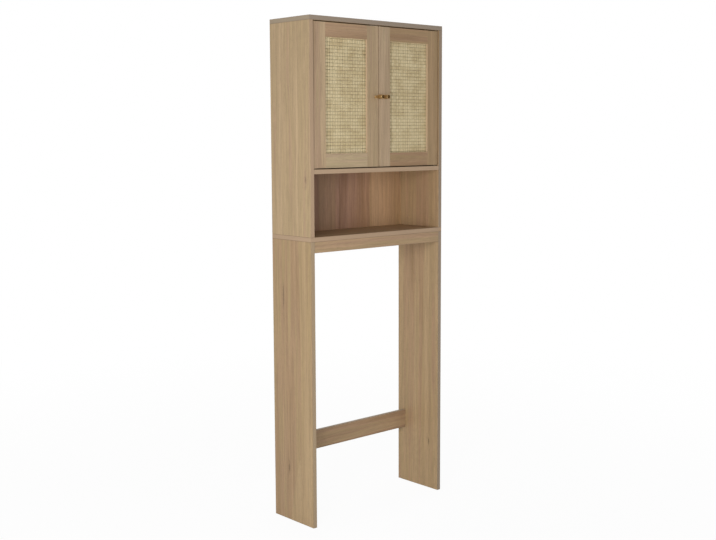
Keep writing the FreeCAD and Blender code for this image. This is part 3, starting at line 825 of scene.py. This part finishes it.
def rounded(middle: Point, radius: float, start: float, steps: int = 4) -> list[Point]:
    """Give the points of a quarter round of a profile.

    Args:
        middle: The centre of the round.
        radius: Its radius.
        start: The angle where it starts, in degrees; it turns a quarter from there.
        steps: How many straight pieces it has.

    Returns:
        The points.
    """
    angles = [math.radians(start + 90 * step / steps) for step in range(steps + 1)]
    return [(middle[0] + radius * math.cos(a), middle[1] + radius * math.sin(a)) for a in angles]


def new_tree(name: str, inputs: dict[str, type]) -> tuple[Bench, dict[str, Wire]]:
    """Start a geometry tree.

    Args:
        name: The tree's name.
        inputs: The types of its inputs after the geometry, by name.

    Returns:
        A bench for the tree, and what flows in through its inputs.
    """
    tree = bpy.data.node_groups.new(name, "GeometryNodeTree")
    for way in ("INPUT", "OUTPUT"):
        tree.interface.new_socket("Geometry", in_out=way, socket_type="NodeSocketGeometry")
    for label, kind in inputs.items():
        tree.interface.new_socket(label, in_out="INPUT", socket_type=SOCKET_KINDS[kind])
    bench = Bench(tree)
    return bench, {socket.name: Wire(bench, socket) for socket in bench.add("NodeGroupInput").outputs}


def end_tree(bench: Bench, geometry: Wire, finish: Wire) -> None:
    """Give a tree's geometry its finish and send it out."""
    dressed = bench.take("GeometryNodeSetMaterial", {"Geometry": geometry, "Material": finish})
    bench.add("NodeGroupOutput", {0: dressed})


def grown(
    name: str,
    tree: bpy.types.NodeTree,
    base: bpy.types.Mesh,
    values: dict[str, object],
) -> bpy.types.Mesh:
    """Run a geometry tree on a mesh and keep the result as a plain mesh.

    Args:
        name: The new mesh's name.
        tree: The tree, whose inputs have plain names.
        base: The mesh that it starts from.
        values: The inputs, by name.

    Returns:
        The finished mesh.
    """
    carrier = put(name, base)
    modifier = carrier.modifiers.new("growth", "NODES")
    modifier.node_group = tree
    for item in tree.interface.items_tree:
        if item.item_type == "SOCKET" and item.in_out == "INPUT" and item.name in values:
            modifier[item.identifier] = values[item.name]
    mesh = evaluated(carrier)
    mesh.name = name
    bpy.data.objects.remove(carrier)
    return mesh


@dataclass
class Scatter:
    """Copies one shape to several places, each turned to look its own way."""

    tree: bpy.types.NodeTree = field(init=False)

    def __post_init__(self) -> None:
        """Build the tree: an instance on each point, turned, made real and given its finish."""
        bench, given = new_tree("scatter", {"Shape": bpy.types.Object, "Finish": bpy.types.Material})
        shape = bench.take("GeometryNodeObjectInfo", {"Object": given["Shape"]}, "Geometry")
        aim = bench.take("GeometryNodeInputNamedAttribute", {"Name": "aim"}, data_type="FLOAT_VECTOR")
        turned = bench.take("FunctionNodeAlignRotationToVector", {"Vector": aim}, axis="Z")
        inputs = {"Points": given["Geometry"], "Instance": shape, "Rotation": turned}
        placed = bench.take("GeometryNodeInstanceOnPoints", inputs)
        end_tree(bench, bench.take("GeometryNodeRealizeInstances", {0: placed}), given["Finish"])
        self.tree = bench.tree

    def copies(
        self,
        name: str,
        shape: bpy.types.Mesh,
        places: Sequence[Spot],
        finish: bpy.types.Material,
    ) -> bpy.types.Mesh:
        """Make one mesh that holds a copy of a shape at each place.

        Args:
            name: The new mesh's name.
            shape: The shape, whose Z is its axis.
            places: Points and the directions that the shape's Z turns to.
            finish: The copies' material.

        Returns:
            The mesh.
        """
        points = bpy.data.meshes.new(f"{name}_points")
        points.from_pydata([tuple(place) for place, _ in places], [], [])
        aims = points.attributes.new("aim", "FLOAT_VECTOR", "POINT")
        for item, (_, direction) in zip(aims.data, places):
            item.vector = direction
        model = put(f"{name}_model", shape)
        mesh = grown(name, self.tree, points, {"Shape": model, "Finish": finish})
        bpy.data.objects.remove(model)
        return mesh


@dataclass(frozen=True)
class Course:
    """The strands that run one way: the inputs that they follow, and what sets them apart."""

    length: str
    span: str
    own: str
    crossed: str
    gap: str
    uneven: str
    strand_draw: int
    band_draw: int
    drift_start: float
    first_side: float
    # Where the set's tones start: the level strands start paler, a painted highlight for the light that
    # falls on the level bands from above and in front.
    tone: float


class Way(Enum):
    """The two ways that the strands run."""

    UPRIGHT = Course(
        "Tall", "Wide", "Columns", "Rows", "Upright Gap", "Upright Uneven", 1, 3, 5.0, -1.0, 0.30
    )
    # The level strands' higher tone is a painted highlight.
    LEVEL = Course(
        "Wide", "Tall", "Rows", "Columns", "Level Gap", "Level Uneven", 2, 4, 9.0, 1.0, 0.46
    )


@dataclass(frozen=True)
class CaneWeave:
    """Open square cane: bands of flat strands, each band woven over and under the bands that cross it."""

    pitch: float = 12.0 * MM
    strands: int = 3
    upright_gap: float = 1.3 * MM
    level_gap: float = 3.3 * MM
    upright_uneven: float = 0.95
    level_uneven: float = 0.5
    thickness: float = 0.5 * MM
    lift: float = 0.44 * MM
    wander: float = 0.8 * MM
    steps: int = 4
    points_across: int = 3
    points_deep: int = 2
    width_share: float = 0.84
    width_play: float = 0.14
    drift: Layer = Layer((1, 1, 1), 1.0, 4.0)
    drift_by_band: float = 3.7
    drift_by_metre: float = 14.0
    squareness: float = 1.6
    edge_thinning: float = 0.5
    tone_play: float = 0.3
    lane: float = 37.0

    def build(self, name: str, box: Box, finish: bpy.types.Material, seed: int) -> bpy.types.Mesh:
        """Weave a panel that fills a box.

        Args:
            name: The mesh's name.
            box: The box's lowest and highest corners.
            finish: The strands' material.
            seed: What the strands' unevenness starts from.

        Returns:
            The woven mesh.
        """
        low, high = box
        wide, deep, tall = high - low
        values = {
            "Low": low,
            "Wide": wide,
            "Deep": deep,
            "Tall": tall,
            "Columns": round(wide / self.pitch),
            "Rows": round(tall / self.pitch),
            "Strands": self.strands,
            "Upright Gap": self.upright_gap,
            "Level Gap": self.level_gap,
            "Upright Uneven": self.upright_uneven,
            "Level Uneven": self.level_uneven,
            "Thickness": self.thickness,
            "Lift": self.lift,
            "Wander": self.wander,
            "Steps": self.steps,
            "Seed": seed,
            "Finish": finish,
        }
        tree = self.tree({label: type(value) for label, value in values.items()})
        return grown(name, tree, bpy.data.meshes.new(f"{name}_start"), values)

    def tree(self, inputs: dict[str, type]) -> bpy.types.NodeTree:
        """Build the tree that weaves the upright and the level strands.

        Args:
            inputs: The types of its inputs, by name.

        Returns:
            The tree.
        """
        bench, given = new_tree("cane_weave", inputs)
        both = bench.add("GeometryNodeJoinGeometry")
        for way in Way:
            bench.feed(both.inputs[0], self.strand_set(bench, given, way))
        woven = Wire(bench, both.outputs[0])
        smooth = bench.take("GeometryNodeSetShadeSmooth", {"Geometry": woven, "Shade Smooth": True})
        end_tree(bench, smooth, given["Finish"])
        return bench.tree

    def strand_set(self, bench: Bench, given: dict[str, Wire], way: Way) -> Wire:
        """Make all strands that run one way.

        Each strand starts as a long flat box, with its own number as its place across. A rule then
        sets it in its band, thins its edges, and bends it over and under the crossing bands.

        Args:
            bench: The tree's bench.
            given: What flows in through the tree's inputs.
            way: The way that the strands run.

        Returns:
            The strands as real geometry.
        """
        course = way.value
        seed, strands, length = given["Seed"], given["Strands"], given[course.length]
        strip = bench.take("GeometryNodeMeshCube", {
            "Size": (1.0, 1.0, 1.0),
            "Vertices X": self.points_across,
            "Vertices Y": self.points_deep,
            "Vertices Z": given[course.crossed] * given["Steps"] + 1.0,
        })
        spread = bench.take("GeometryNodePoints", {"Count": given[course.own] * strands})
        kept = self.stored(bench, spread, "strand_number", bench.take("GeometryNodeInputIndex"), "FLOAT")
        placed = bench.take("GeometryNodeInstanceOnPoints", {"Points": kept, "Instance": strip})
        real = bench.take("GeometryNodeRealizeInstances", {0: placed})
        index = bench.take("GeometryNodeInputNamedAttribute", {"Name": "strand_number"}, data_type="FLOAT")
        side, thick, along = bench.split(bench.take("GeometryNodeInputPosition"))

        band = bench.math("FLOOR", (index + 0.5) / strands)
        inner = index - band * strands
        pitch = given[course.span] / given[course.own]
        loose = self.chance(bench, seed, band, course.band_draw)
        gap = given[course.gap] * (1.0 + bench.swing(loose, 2.0) * given[course.uneven])
        pace = (pitch - gap) / strands
        chance = self.chance(bench, seed, index, course.strand_draw)
        width = pace * (self.width_share + chance * self.width_play)
        centre = (band + 0.5) * pitch + (inner - (strands - 1.0) * 0.5) * pace
        run = (along + 0.5) * length
        start = bench.join(band * self.drift_by_band, run * self.drift_by_metre, seed + course.drift_start)
        stray = bench.swing(bench.noise(start, self.drift), self.drift.weight) * given["Wander"]
        across = centre + stray + side * width

        wave = bench.math("SINE", run * math.pi / (length / given[course.crossed]))
        wave = bench.math("MAXIMUM", bench.math("MINIMUM", wave * self.squareness, 1.0), -1.0)
        even = 1.0 - bench.math("FLOORED_MODULO", band, 2.0) * 2.0
        lift = wave * even * given["Lift"] * course.first_side
        off = abs(side) * 2.0
        skin = thick * given["Thickness"] * (1.0 - off * self.edge_thinning)
        deep = given["Deep"] * 0.5 + (lift + skin)
        point = bench.join(across, deep, run) if way is Way.UPRIGHT else bench.join(run, deep, across)

        # The look holds the strand's tone, how far the strand stands off the middle, which sets the painted
        # shade in the dips, and how near its edge the point lies.
        look = bench.join(chance * self.tone_play + course.tone, abs(wave), off)
        path = bench.join(index * self.lane + across * MM_PER_METRE, run * MM_PER_METRE, 0.0)
        shown = self.stored(bench, real, "strand_look", look, "FLOAT_VECTOR")
        traced = self.stored(bench, shown, "strand_path", path, "FLOAT_VECTOR")
        inputs = {"Geometry": traced, "Position": bench.vector("ADD", point, given["Low"])}
        return bench.take("GeometryNodeSetPosition", inputs)

    def chance(self, bench: Bench, seed: Wire, index: Wire, draw: int) -> Wire:
        """Draw a number between 0 and 1 for each strand or band.

        Args:
            bench: The tree's bench.
            seed: The weave's seed.
            index: The number of the strand or band.
            draw: A number that differs between the sets of draws.

        Returns:
            The number.
        """
        inputs = {"ID": index, "Seed": seed * 2.0 + float(draw)}
        return bench.take("FunctionNodeRandomValue", inputs, data_type="FLOAT")

    def stored(self, bench: Bench, geometry: Wire, name: str, value: Wire, kind: str) -> Wire:
        """Keep a value under a name on every point of a geometry, and give the geometry on."""
        inputs = {"Geometry": geometry, "Name": name, "Value": value}
        return bench.take("GeometryNodeStoreNamedAttribute", inputs, data_type=kind, domain="POINT")


@dataclass
class Carcass:
    """The boards that stand still, from the legs to the top board.

    The places of the knots are shares of a panel's depth and height.
    """

    finishes: Finishes
    scatter: Scatter
    cover_radius: float = 8.6 * MM
    cover_thickness: float = 0.4 * MM
    cover_edge: float = 0.15 * MM
    cover_edge_steps: int = 2
    cover_segments: int = 40
    knot_radius: float = 5.0 * MM
    left_leg_knot_shares: Point = (0.62, 0.19)
    right_leg_knot_shares: Point = (0.22, 0.183)
    left_side_knot_shares: Point = (0.13, 0.27)
    streak_radius: float = 5.0 * MM
    streak_stretch: float = 11.0
    left_leg_streak_shares: Point = (0.72, 0.805)

    def build(self) -> None:
        """Dress the boards and fittings and add the covers of the cam locks."""
        back = BackBoardFinish("back_panel", Run.UPRIGHT, Wide.FORWARD, Tone.PRINT)
        for finish in (*self.upright_boards(), *self.level_boards(), back):
            dress(finish.name, finish.build())
        for node in ("cam_locks", "cam_bolts"):
            dress(node, self.finishes.zinc)
        dress("dowels", self.finishes.beech)
        self.add_cam_covers()

    def upright_boards(self) -> list[OakFinish]:
        """Choose the veneer of the panels that stand.

        Returns:
            One finish for each panel.
        """
        side = Knot(self.on_face("left_side_panel", self.left_side_knot_shares), self.knot_radius)
        left = Knot(self.on_face("left_leg_panel", self.left_leg_knot_shares), self.knot_radius)
        right = Knot(self.on_face("right_leg_panel", self.right_leg_knot_shares), self.knot_radius)
        streak_place = self.on_face("left_leg_panel", self.left_leg_streak_shares)
        streak = Knot(streak_place, self.streak_radius, self.streak_stretch)
        panels = (
            ("left_side_panel", Tone.BLOND, (side,), Tape.LEFT_SIDE),
            ("right_side_panel", Tone.RUSSET, (), Tape.RIGHT_GREY),
            ("left_leg_panel", Tone.HONEY, (left, streak), Tape.LEFT_LEG),
            ("right_leg_panel", Tone.PLAIN, (right,), Tape.RIGHT_GREY),
        )
        return [OakFinish(node, Run.UPRIGHT, Wide.SIDEWAYS, *choices) for node, *choices in panels]

    def level_boards(self) -> list[OakFinish]:
        """Choose the veneer of the boards that lie and of the two rails.

        Returns:
            One finish for each board.
        """
        boards = (
            # The top board's and the deck's ends take paler tape than their front edges: painted light on
            # the ends that face the key lamp.
            ("top_board", Wide.UPWARD, Tone.PLAIN, (), Tape.TOP_GREY, Tape.TOP_ENDS_PAINTED_LIGHT),
            # The deck's darker tone is partly painted shade, for its top in the niche under the fixed shelf.
            ("deck_board", Wide.UPWARD, Tone.BROWN, (), Tape.DECK, Tape.SHELF),
            ("fixed_shelf", Wide.UPWARD, Tone.PLAIN, (), Tape.SHELF),
            ("adjustable_shelf", Wide.UPWARD, Tone.PLAIN),
            ("front_rail", Wide.FORWARD, Tone.TAWNY),
            ("rear_stretcher", Wide.FORWARD, Tone.TAWNY),
        )
        return [OakFinish(node, Run.LEVEL, *choices) for node, *choices in boards]

    def on_face(self, node: str, shares: Point) -> Place:
        """Find a place on the left face of a panel.

        Args:
            node: The panel's name.
            shares: How far back and how far up it lies, as shares of the panel's depth and height.

        Returns:
            The place.
        """
        low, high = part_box(node)
        return (low.x, low.y + shares[0] * (high.y - low.y), low.z + shares[1] * (high.z - low.z))

    def add_cam_covers(self) -> None:
        """Stick a thin disc of the panel's own veneer over each cam lock."""
        centre = (self.cover_radius - self.cover_edge, self.cover_thickness - self.cover_edge)
        profile = [(0.0, 0.0), (self.cover_radius, 0.0)]
        profile += rounded(centre, self.cover_edge, 0, self.cover_edge_steps)
        profile += [(0.0, self.cover_thickness)]
        shape = turn_profile("cam_cover", profile, self.cover_segments)
        for panel in ("left_leg_panel", "right_leg_panel", "left_side_panel", "right_side_panel"):
            low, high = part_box(panel)
            inward = 1 if panel.startswith("left") else -1
            face = high.x if inward > 0 else low.x
            places = [
                (Vector((face, middle.y, middle.z)), Vector((inward, 0, 0)))
                for middle in solid_middles("cam_locks")
                if low.x <= middle.x <= high.x and low.z <= middle.z <= high.z
            ]
            name = panel.replace("panel", "cam_covers")
            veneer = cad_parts[panel].material_slots[0].material
            add_piece(name, self.scatter.copies(name, shape, places, veneer), "cabinet")


def solid_middles(node: str) -> list[Vector]:
    """Find the middle of each separate solid in a part of the frame.

    Args:
        node: The part's name.

    Returns:
        The middle of each solid's box, in the order in which the solids lie in the mesh.
    """
    shape = bmesh.new()
    shape.from_mesh(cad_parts[node].data)
    bmesh.ops.remove_doubles(shape, verts=shape.verts, dist=MERGE_DISTANCE)
    seen: set[bmesh.types.BMVert] = set()
    middles = []
    for first in shape.verts:
        if first in seen:
            continue
        group, waiting = [], [first]
        seen.add(first)
        while waiting:
            vert = waiting.pop()
            group.append(vert.co.copy())
            for edge in vert.link_edges:
                other = edge.other_vert(vert)
                if other not in seen:
                    seen.add(other)
                    waiting.append(other)
        low, high = corners_of(group)
        middles.append((low + high) / 2)
    shape.free()
    return middles


def corners_of(points: Iterable[Vector]) -> Box:
    """Give the lowest and the highest corner of the box round some points."""
    levels = list(zip(*points))
    return Vector(map(min, levels)), Vector(map(max, levels))


def on_axis(node: str, depth: float) -> Vector:
    """Give the place on a part's middle line from front to back, at one depth."""
    low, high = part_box(node)
    return Vector(((low.x + high.x) / 2, depth, (low.z + high.z) / 2))


@dataclass
class Screws:
    """Round-headed screws with a cross recess."""

    finishes: Finishes
    scatter: Scatter
    head_radius: float = 3.4 * MM
    head_height: float = 1.9 * MM
    rim: float = 0.5 * MM
    dome_steps: int = 6
    dome_power: float = 0.6
    segments: int = 28
    recess_length_share: float = 1.1
    recess_width: float = 0.9 * MM
    recess_depth: float = 1.0 * MM

    def shape(self) -> bpy.types.Mesh:
        """Model one head: a low dome with a cross cut into it.

        Returns:
            The mesh, with its foot on Z 0.
        """
        profile = [(0.0, 0.0), (self.head_radius, 0.0), (self.head_radius, self.rim)]
        for step in range(1, self.dome_steps):
            angle = math.pi / 2 * step / self.dome_steps
            rise = self.rim + (self.head_height - self.rim) * math.sin(angle)
            profile.append((self.head_radius * math.cos(angle) ** self.dome_power, rise))
        profile.append((0.0, self.head_height))
        head = put("screw_head", turn_profile("screw_head", profile, self.segments))
        blades = [self.blade(turn) for turn in (0.0, math.pi / 2)]
        for blade in blades:
            cut = head.modifiers.new("cross", "BOOLEAN")
            cut.operation = "DIFFERENCE"
            cut.solver = "EXACT"
            cut.object = blade
        mesh = evaluated(head)
        for item in (head, *blades):
            bpy.data.objects.remove(item)
        return mesh

    def blade(self, turn: float) -> bpy.types.Object:
        """Make the block that cuts one slot of the cross.

        Args:
            turn: The slot's angle about Z.

        Returns:
            The block, half in the head and half above it.
        """
        shape = bmesh.new()
        length = self.head_radius * self.recess_length_share
        size = Matrix.Diagonal((length, self.recess_width, 2 * self.recess_depth, 1))
        lift = Matrix.Translation((0, 0, self.head_height))
        bmesh.ops.create_cube(shape, size=1, matrix=lift @ Matrix.Rotation(turn, 4, "Z") @ size)
        mesh = bpy.data.meshes.new("recess")
        shape.to_mesh(mesh)
        shape.free()
        return put("recess", mesh)

    def add(self, name: str, places: Sequence[Spot], body: str, stands_for: Iterable[str] = ()) -> None:
        """Put screws at some places: the middles of the heads' feet, and the ways that they look."""
        mesh = self.scatter.copies(name, self.shape(), places, self.finishes.zinc)
        add_piece(name, mesh, body, stands_for)


@dataclass
class Cupboard:
    """What the doors hide: the shelf's pegs, the wall brackets, the catch and the bushes."""

    finishes: Finishes
    scatter: Scatter
    screws: Screws
    peg_radius: float = 2.5 * MM
    peg_tip: float = 0.8 * MM
    peg_segments: int = 32
    collar_radius: float = 4.0 * MM
    collar_thickness: float = 1.2 * MM
    brackets: tuple[str, ...] = ("left_wall_bracket", "right_wall_bracket")
    bracket_thickness: float = 2.0 * MM
    bracket_screw_share: float = 0.4

    def build(self) -> None:
        """Dress the fittings and add the pegs and screws."""
        for node in self.brackets:
            dress(node, self.finishes.zinc)
        dress("magnetic_catch", self.finishes.nylon)
        dress("catch_magnets", self.finishes.magnet)
        # The bushes are coloured dark as painted shade in the gaps at the doors' corners.
        dress("pivot_bushes", self.finishes.tan_nylon)
        self.add_pegs()
        self.add_bracket_screws()

    def add_pegs(self) -> None:
        """Turn a peg with a collar for each place where the inner shelf rests."""
        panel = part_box("left_side_panel")[1].x
        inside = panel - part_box("shelf_pins")[0].x
        edge = self.peg_tip / 2
        profile = [(0.0, -inside), (self.peg_radius, -inside)]
        profile += [(self.peg_radius, 0.0), (self.collar_radius, 0.0)]
        profile += rounded((self.collar_radius - edge, self.collar_thickness - edge), edge, 0)
        profile += [(self.peg_radius, self.collar_thickness)]
        profile += rounded((self.peg_radius - self.peg_tip, inside - self.peg_tip), self.peg_tip, 0)
        profile += [(0.0, inside)]
        shape = turn_profile("peg", profile, self.peg_segments)
        places = []
        for centre in solid_middles("shelf_pins"):
            inward = 1 if centre.x < 0 else -1
            places.append((Vector((inward * panel, centre.y, centre.z)), Vector((inward, 0, 0))))
        mesh = self.scatter.copies("shelf_pegs", shape, places, self.finishes.zinc)
        add_piece("shelf_pegs", mesh, "cabinet", ("shelf_pins",))

    def add_bracket_screws(self) -> None:
        """Screw each bracket to the underside of the top board."""
        places = []
        for node in self.brackets:
            low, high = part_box(node)
            back = low.y + self.bracket_screw_share * (high.y - low.y)
            place = Vector(((low.x + high.x) / 2, back, high.z - self.bracket_thickness))
            places.append((place, Vector((0, 0, -1))))
        self.screws.add("bracket_screws", places, "cabinet")


@dataclass(frozen=True)
class KnobTurning:
    """The sizes that a knob is turned to: a base, a thin neck and a long head with a dished end."""

    base_share: float = 0.8
    neck_share: float = 0.53
    base: float = 2.0 * MM
    head: float = 14.0 * MM
    edge: float = 0.7 * MM
    small: float = 0.4 * MM
    rim: float = 0.7 * MM
    dish: float = 0.8 * MM
    segments: int = 64

    def profile(self, radius: float, length: float) -> list[Point]:
        """Draw the knob's profile.

        Args:
            radius: The head's radius.
            length: The knob's whole length.

        Returns:
            Radius and height, from the foot to the dished end.
        """
        base, neck, flat = radius * self.base_share, radius * self.neck_share, radius - self.edge
        profile = [(0.0, 0.0), (base, 0.0)]
        profile += rounded((base - self.small, self.base - self.small), self.small, 0)
        profile += [(neck + self.small, self.base), (neck, self.base + self.small)]
        profile += [(neck, self.head - self.small), (neck + self.small, self.head)]
        profile += rounded((flat, self.head + self.edge), self.edge, -90)
        profile += rounded((flat, length - self.edge), self.edge, 0)
        inner = radius - self.rim
        profile += [(inner, length), (inner - self.dish / 2, length - self.dish), (0.0, length - self.dish)]
        return profile


@dataclass
class Door:
    """One cane door: its frame, its weave, its knob and the fittings that it carries."""

    side: str
    finishes: Finishes
    screws: Screws
    tones: tuple[Tone, Tone, Tone, Tone]
    seed: int
    words: tuple[str, ...] = ("hinge_stile", "meeting_stile", "top_rail", "bottom_rail")
    turning: KnobTurning = KnobTurning()
    patina_depth_share: float = 1.05

    @property
    def body(self) -> str:
        """The name of the body that the door moves as."""
        return f"{self.side}_door"

    def part(self, word: str) -> str:
        """Give the full name of one of the door's parts."""
        return f"{self.side}_{word}"

    def build(self) -> None:
        """Dress the frame, weave the cane and add the knob and its screw."""
        # The door's whole outline sets the arrises, so the painted shade runs along the gaps round the door.
        outline = corners_of(corner for word in self.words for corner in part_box(self.part(word)))
        for word, tone in zip(self.words, self.tones):
            run = Run.UPRIGHT if word.endswith("stile") else Run.LEVEL
            finish = OakFinish(self.part(word), run, Wide.FORWARD, tone, tape=Tape.DOOR_PAINTED_LIGHT, outline=outline)
            dress(finish.name, finish.build())
        beads = OakFinish(self.part("cane_beads"), Run.UPRIGHT, Wide.FORWARD, self.tones[0], outline=outline)
        dress(beads.name, beads.build())
        # The pivot pins are coloured dark as painted shade in the gaps at the doors' corners.
        dress(self.part("pivot_pins"), self.finishes.browned)
        dress(self.part("strike_plate"), self.finishes.zinc)
        self.weave_cane()
        self.turn_knob()
        self.add_knob_screw()

    def weave_cane(self) -> None:
        """Replace the plain net with woven strands."""
        net, name = self.part("cane_panel"), self.part("woven_cane")
        mesh = CaneWeave().build(name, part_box(net), self.finishes.cane, self.seed)
        add_piece(name, mesh, self.body, (net,))

    def turn_knob(self) -> None:
        """Turn the brass knob, whose dished end is dark."""
        low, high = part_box(self.part("knob"))
        radius = (high.x - low.x) / 2
        profile = self.turning.profile(radius, high.y - low.y)
        shape = turn_profile(self.part("turned_knob"), profile, self.turning.segments)
        foot = on_axis(self.part("knob"), high.y)
        shape.transform(Matrix.Translation(foot) @ Matrix.Rotation(math.pi / 2, 4, "X"))
        shape.materials.append(self.finishes.brass)
        shape.materials.append(self.finishes.patina)
        end = low.y + self.turning.dish * self.patina_depth_share
        for face in shape.polygons:
            off = (face.center - Vector((foot.x, face.center.y, foot.z))).length
            if face.center.y < end and off < radius - self.turning.rim:
                face.material_index = 1
        add_piece(self.part("turned_knob"), shape, self.body, (self.part("knob"),))

    def add_knob_screw(self) -> None:
        """Show the head of the screw that holds the knob from behind."""
        screw = self.part("knob_screw")
        place = on_axis(screw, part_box(self.part("meeting_stile"))[1].y)
        self.screws.add(f"{screw}_head", [(place, Vector((0, 1, 0)))], self.body, (screw,))


@dataclass(frozen=True)
class Lamp:
    """A square soft lamp: its place, its power in watts and the length of its sides."""

    name: str
    place: Place
    power: float
    size: float


@dataclass(frozen=True)
class Studio:
    """A white floor and backdrop, a key lamp from the left and weak fills from the other sides."""

    daylight: float = 0.36
    floor_size: float = 16.0
    clear_radius: float = 0.4
    white_radius: float = 3.4
    floor_white: float = 0.945
    floor_colour: Colour = (0.8, 0.8, 0.8, 1.0)
    lamps: tuple[Lamp, ...] = (
        Lamp("key", (-2.2, -1.4, 1.25), 43.0, 1.1),
        Lamp("front_fill", (0.6, -3.2, 1.25), 16.0, 2.0),
        Lamp("right_fill", (2.6, 0.2, 1.3), 15.0, 2.0),
        Lamp("rear_fill", (0.3, 1.8, 3.4), 30.0, 2.0),
    )
    aim: Place = (0.0, 0.0, 1.0)

    def build(self) -> None:
        """Make the world, the floor and the lamps."""
        self.make_world()
        self.make_floor()
        for lamp in self.lamps:
            self.hang(lamp)

    def seen(self, bench: Bench) -> Wire:
        """Give 1 for rays that show the background: straight, mirrored or through glass.

        Args:
            bench: The bench of the world or of the floor's material.

        Returns:
            1 for such a ray and 0 for the others.
        """
        rays = ("Is Glossy Ray", "Is Transmission Ray", "Is Camera Ray")
        mirrored, through, straight = (bench.take("ShaderNodeLightPath", output=ray) for ray in rays)
        return bench.math("MAXIMUM", straight, bench.math("MAXIMUM", mirrored, through))

    def make_world(self) -> None:
        """Light the scene evenly, and show plain white behind it."""
        world = bpy.data.worlds.new("studio")
        bench = new_bench(world)
        light = bench.take("ShaderNodeBackground", {"Color": WHITE, "Strength": self.daylight})
        shown = bench.take("ShaderNodeBackground", {"Color": WHITE, "Strength": 1.0})
        both = bench.take("ShaderNodeMixShader", {0: self.seen(bench), 1: light, 2: shown})
        bench.add("ShaderNodeOutputWorld", {"Surface": both})
        bpy.context.scene.world = world

    def make_floor(self) -> None:
        """Lay a white floor that keeps a soft shadow and fades into the backdrop."""
        mesh = bpy.data.meshes.new("floor")
        half = self.floor_size / 2
        corners = [(-half, -half, 0), (half, -half, 0), (half, half, 0), (-half, half, 0)]
        mesh.from_pydata(corners, [], [(0, 1, 2, 3)])
        put("floor", mesh)
        material = bpy.data.materials.new("floor_white")
        bench = new_bench(material)
        away = bench.between(bench.vector("LENGTH", bench.place()), self.clear_radius, self.white_radius)
        share = (self.floor_white + away * (1.0 - self.floor_white)) * self.seen(bench)
        matt = bench.take("ShaderNodeBsdfDiffuse", {"Color": self.floor_colour})
        glow = bench.take("ShaderNodeEmission", {"Color": WHITE, "Strength": 1.0})
        both = bench.take("ShaderNodeMixShader", {0: share, 1: matt, 2: glow})
        bench.add("ShaderNodeOutputMaterial", {"Surface": both})
        mesh.materials.append(material)

    def hang(self, lamp: Lamp) -> None:
        """Hang a lamp so that it looks at the unit.

        Args:
            lamp: The lamp.
        """
        data = bpy.data.lights.new(lamp.name, "AREA")
        data.energy = lamp.power
        data.size = lamp.size
        hung = put(lamp.name, data)
        hung.location = lamp.place
        hung.rotation_euler = (Vector(self.aim) - Vector(lamp.place)).to_track_quat("-Z", "Y").to_euler()


@dataclass(frozen=True)
class PhotoCamera:
    """The camera of the photograph, fitted to the unit's straight edges. Angles are in degrees."""

    place: Place = (-2.7453, -3.0220, 1.3934)
    yaw: float = 42.006
    pitch: float = -6.566
    roll: float = -0.232
    focal_pixels: float = 1101.9
    centre_row: float = 262.0
    sensor: float = 36.0
    reach: float = 60.0

    def build(self) -> None:
        """Make the camera and set it as the scene's own."""
        data = bpy.data.cameras.new("camera")
        data.sensor_width = self.sensor
        data.lens = self.focal_pixels * self.sensor / PHOTO_WIDTH
        data.shift_y = (self.centre_row - PHOTO_HEIGHT / 2) / PHOTO_WIDTH
        data.clip_end = self.reach
        camera = put("camera", data)
        turn = Matrix.Rotation(math.radians(-self.yaw), 4, "Z")
        turn @= Matrix.Rotation(math.radians(90 + self.pitch), 4, "X")
        turn @= Matrix.Rotation(math.radians(self.roll), 4, "Z")
        camera.matrix_world = Matrix.Translation(self.place) @ turn
        bpy.context.scene.camera = camera


def main() -> None:
    """Build the stage and every sub-assembly, in order."""
    logging.basicConfig(level=logging.INFO, format="%(name)s: %(message)s")
    bpy.context.scene.view_settings.view_transform = "Standard"
    PhotoCamera().build()
    Studio().build()
    finishes = Finishes()
    scatter = Scatter()
    screws = Screws(finishes, scatter)
    Carcass(finishes, scatter).build()
    Cupboard(finishes, scatter, screws).build()
    left = (Tone.FAWN, Tone.FAWN, Tone.TAWNY, Tone.ASH)
    right = (Tone.BROWN, Tone.ASH, Tone.BROWN, Tone.BROWN)
    Door("left", finishes, screws, left, 3).build()
    Door("right", finishes, screws, right, 8).build()


if __name__ == "__main__":
    main()
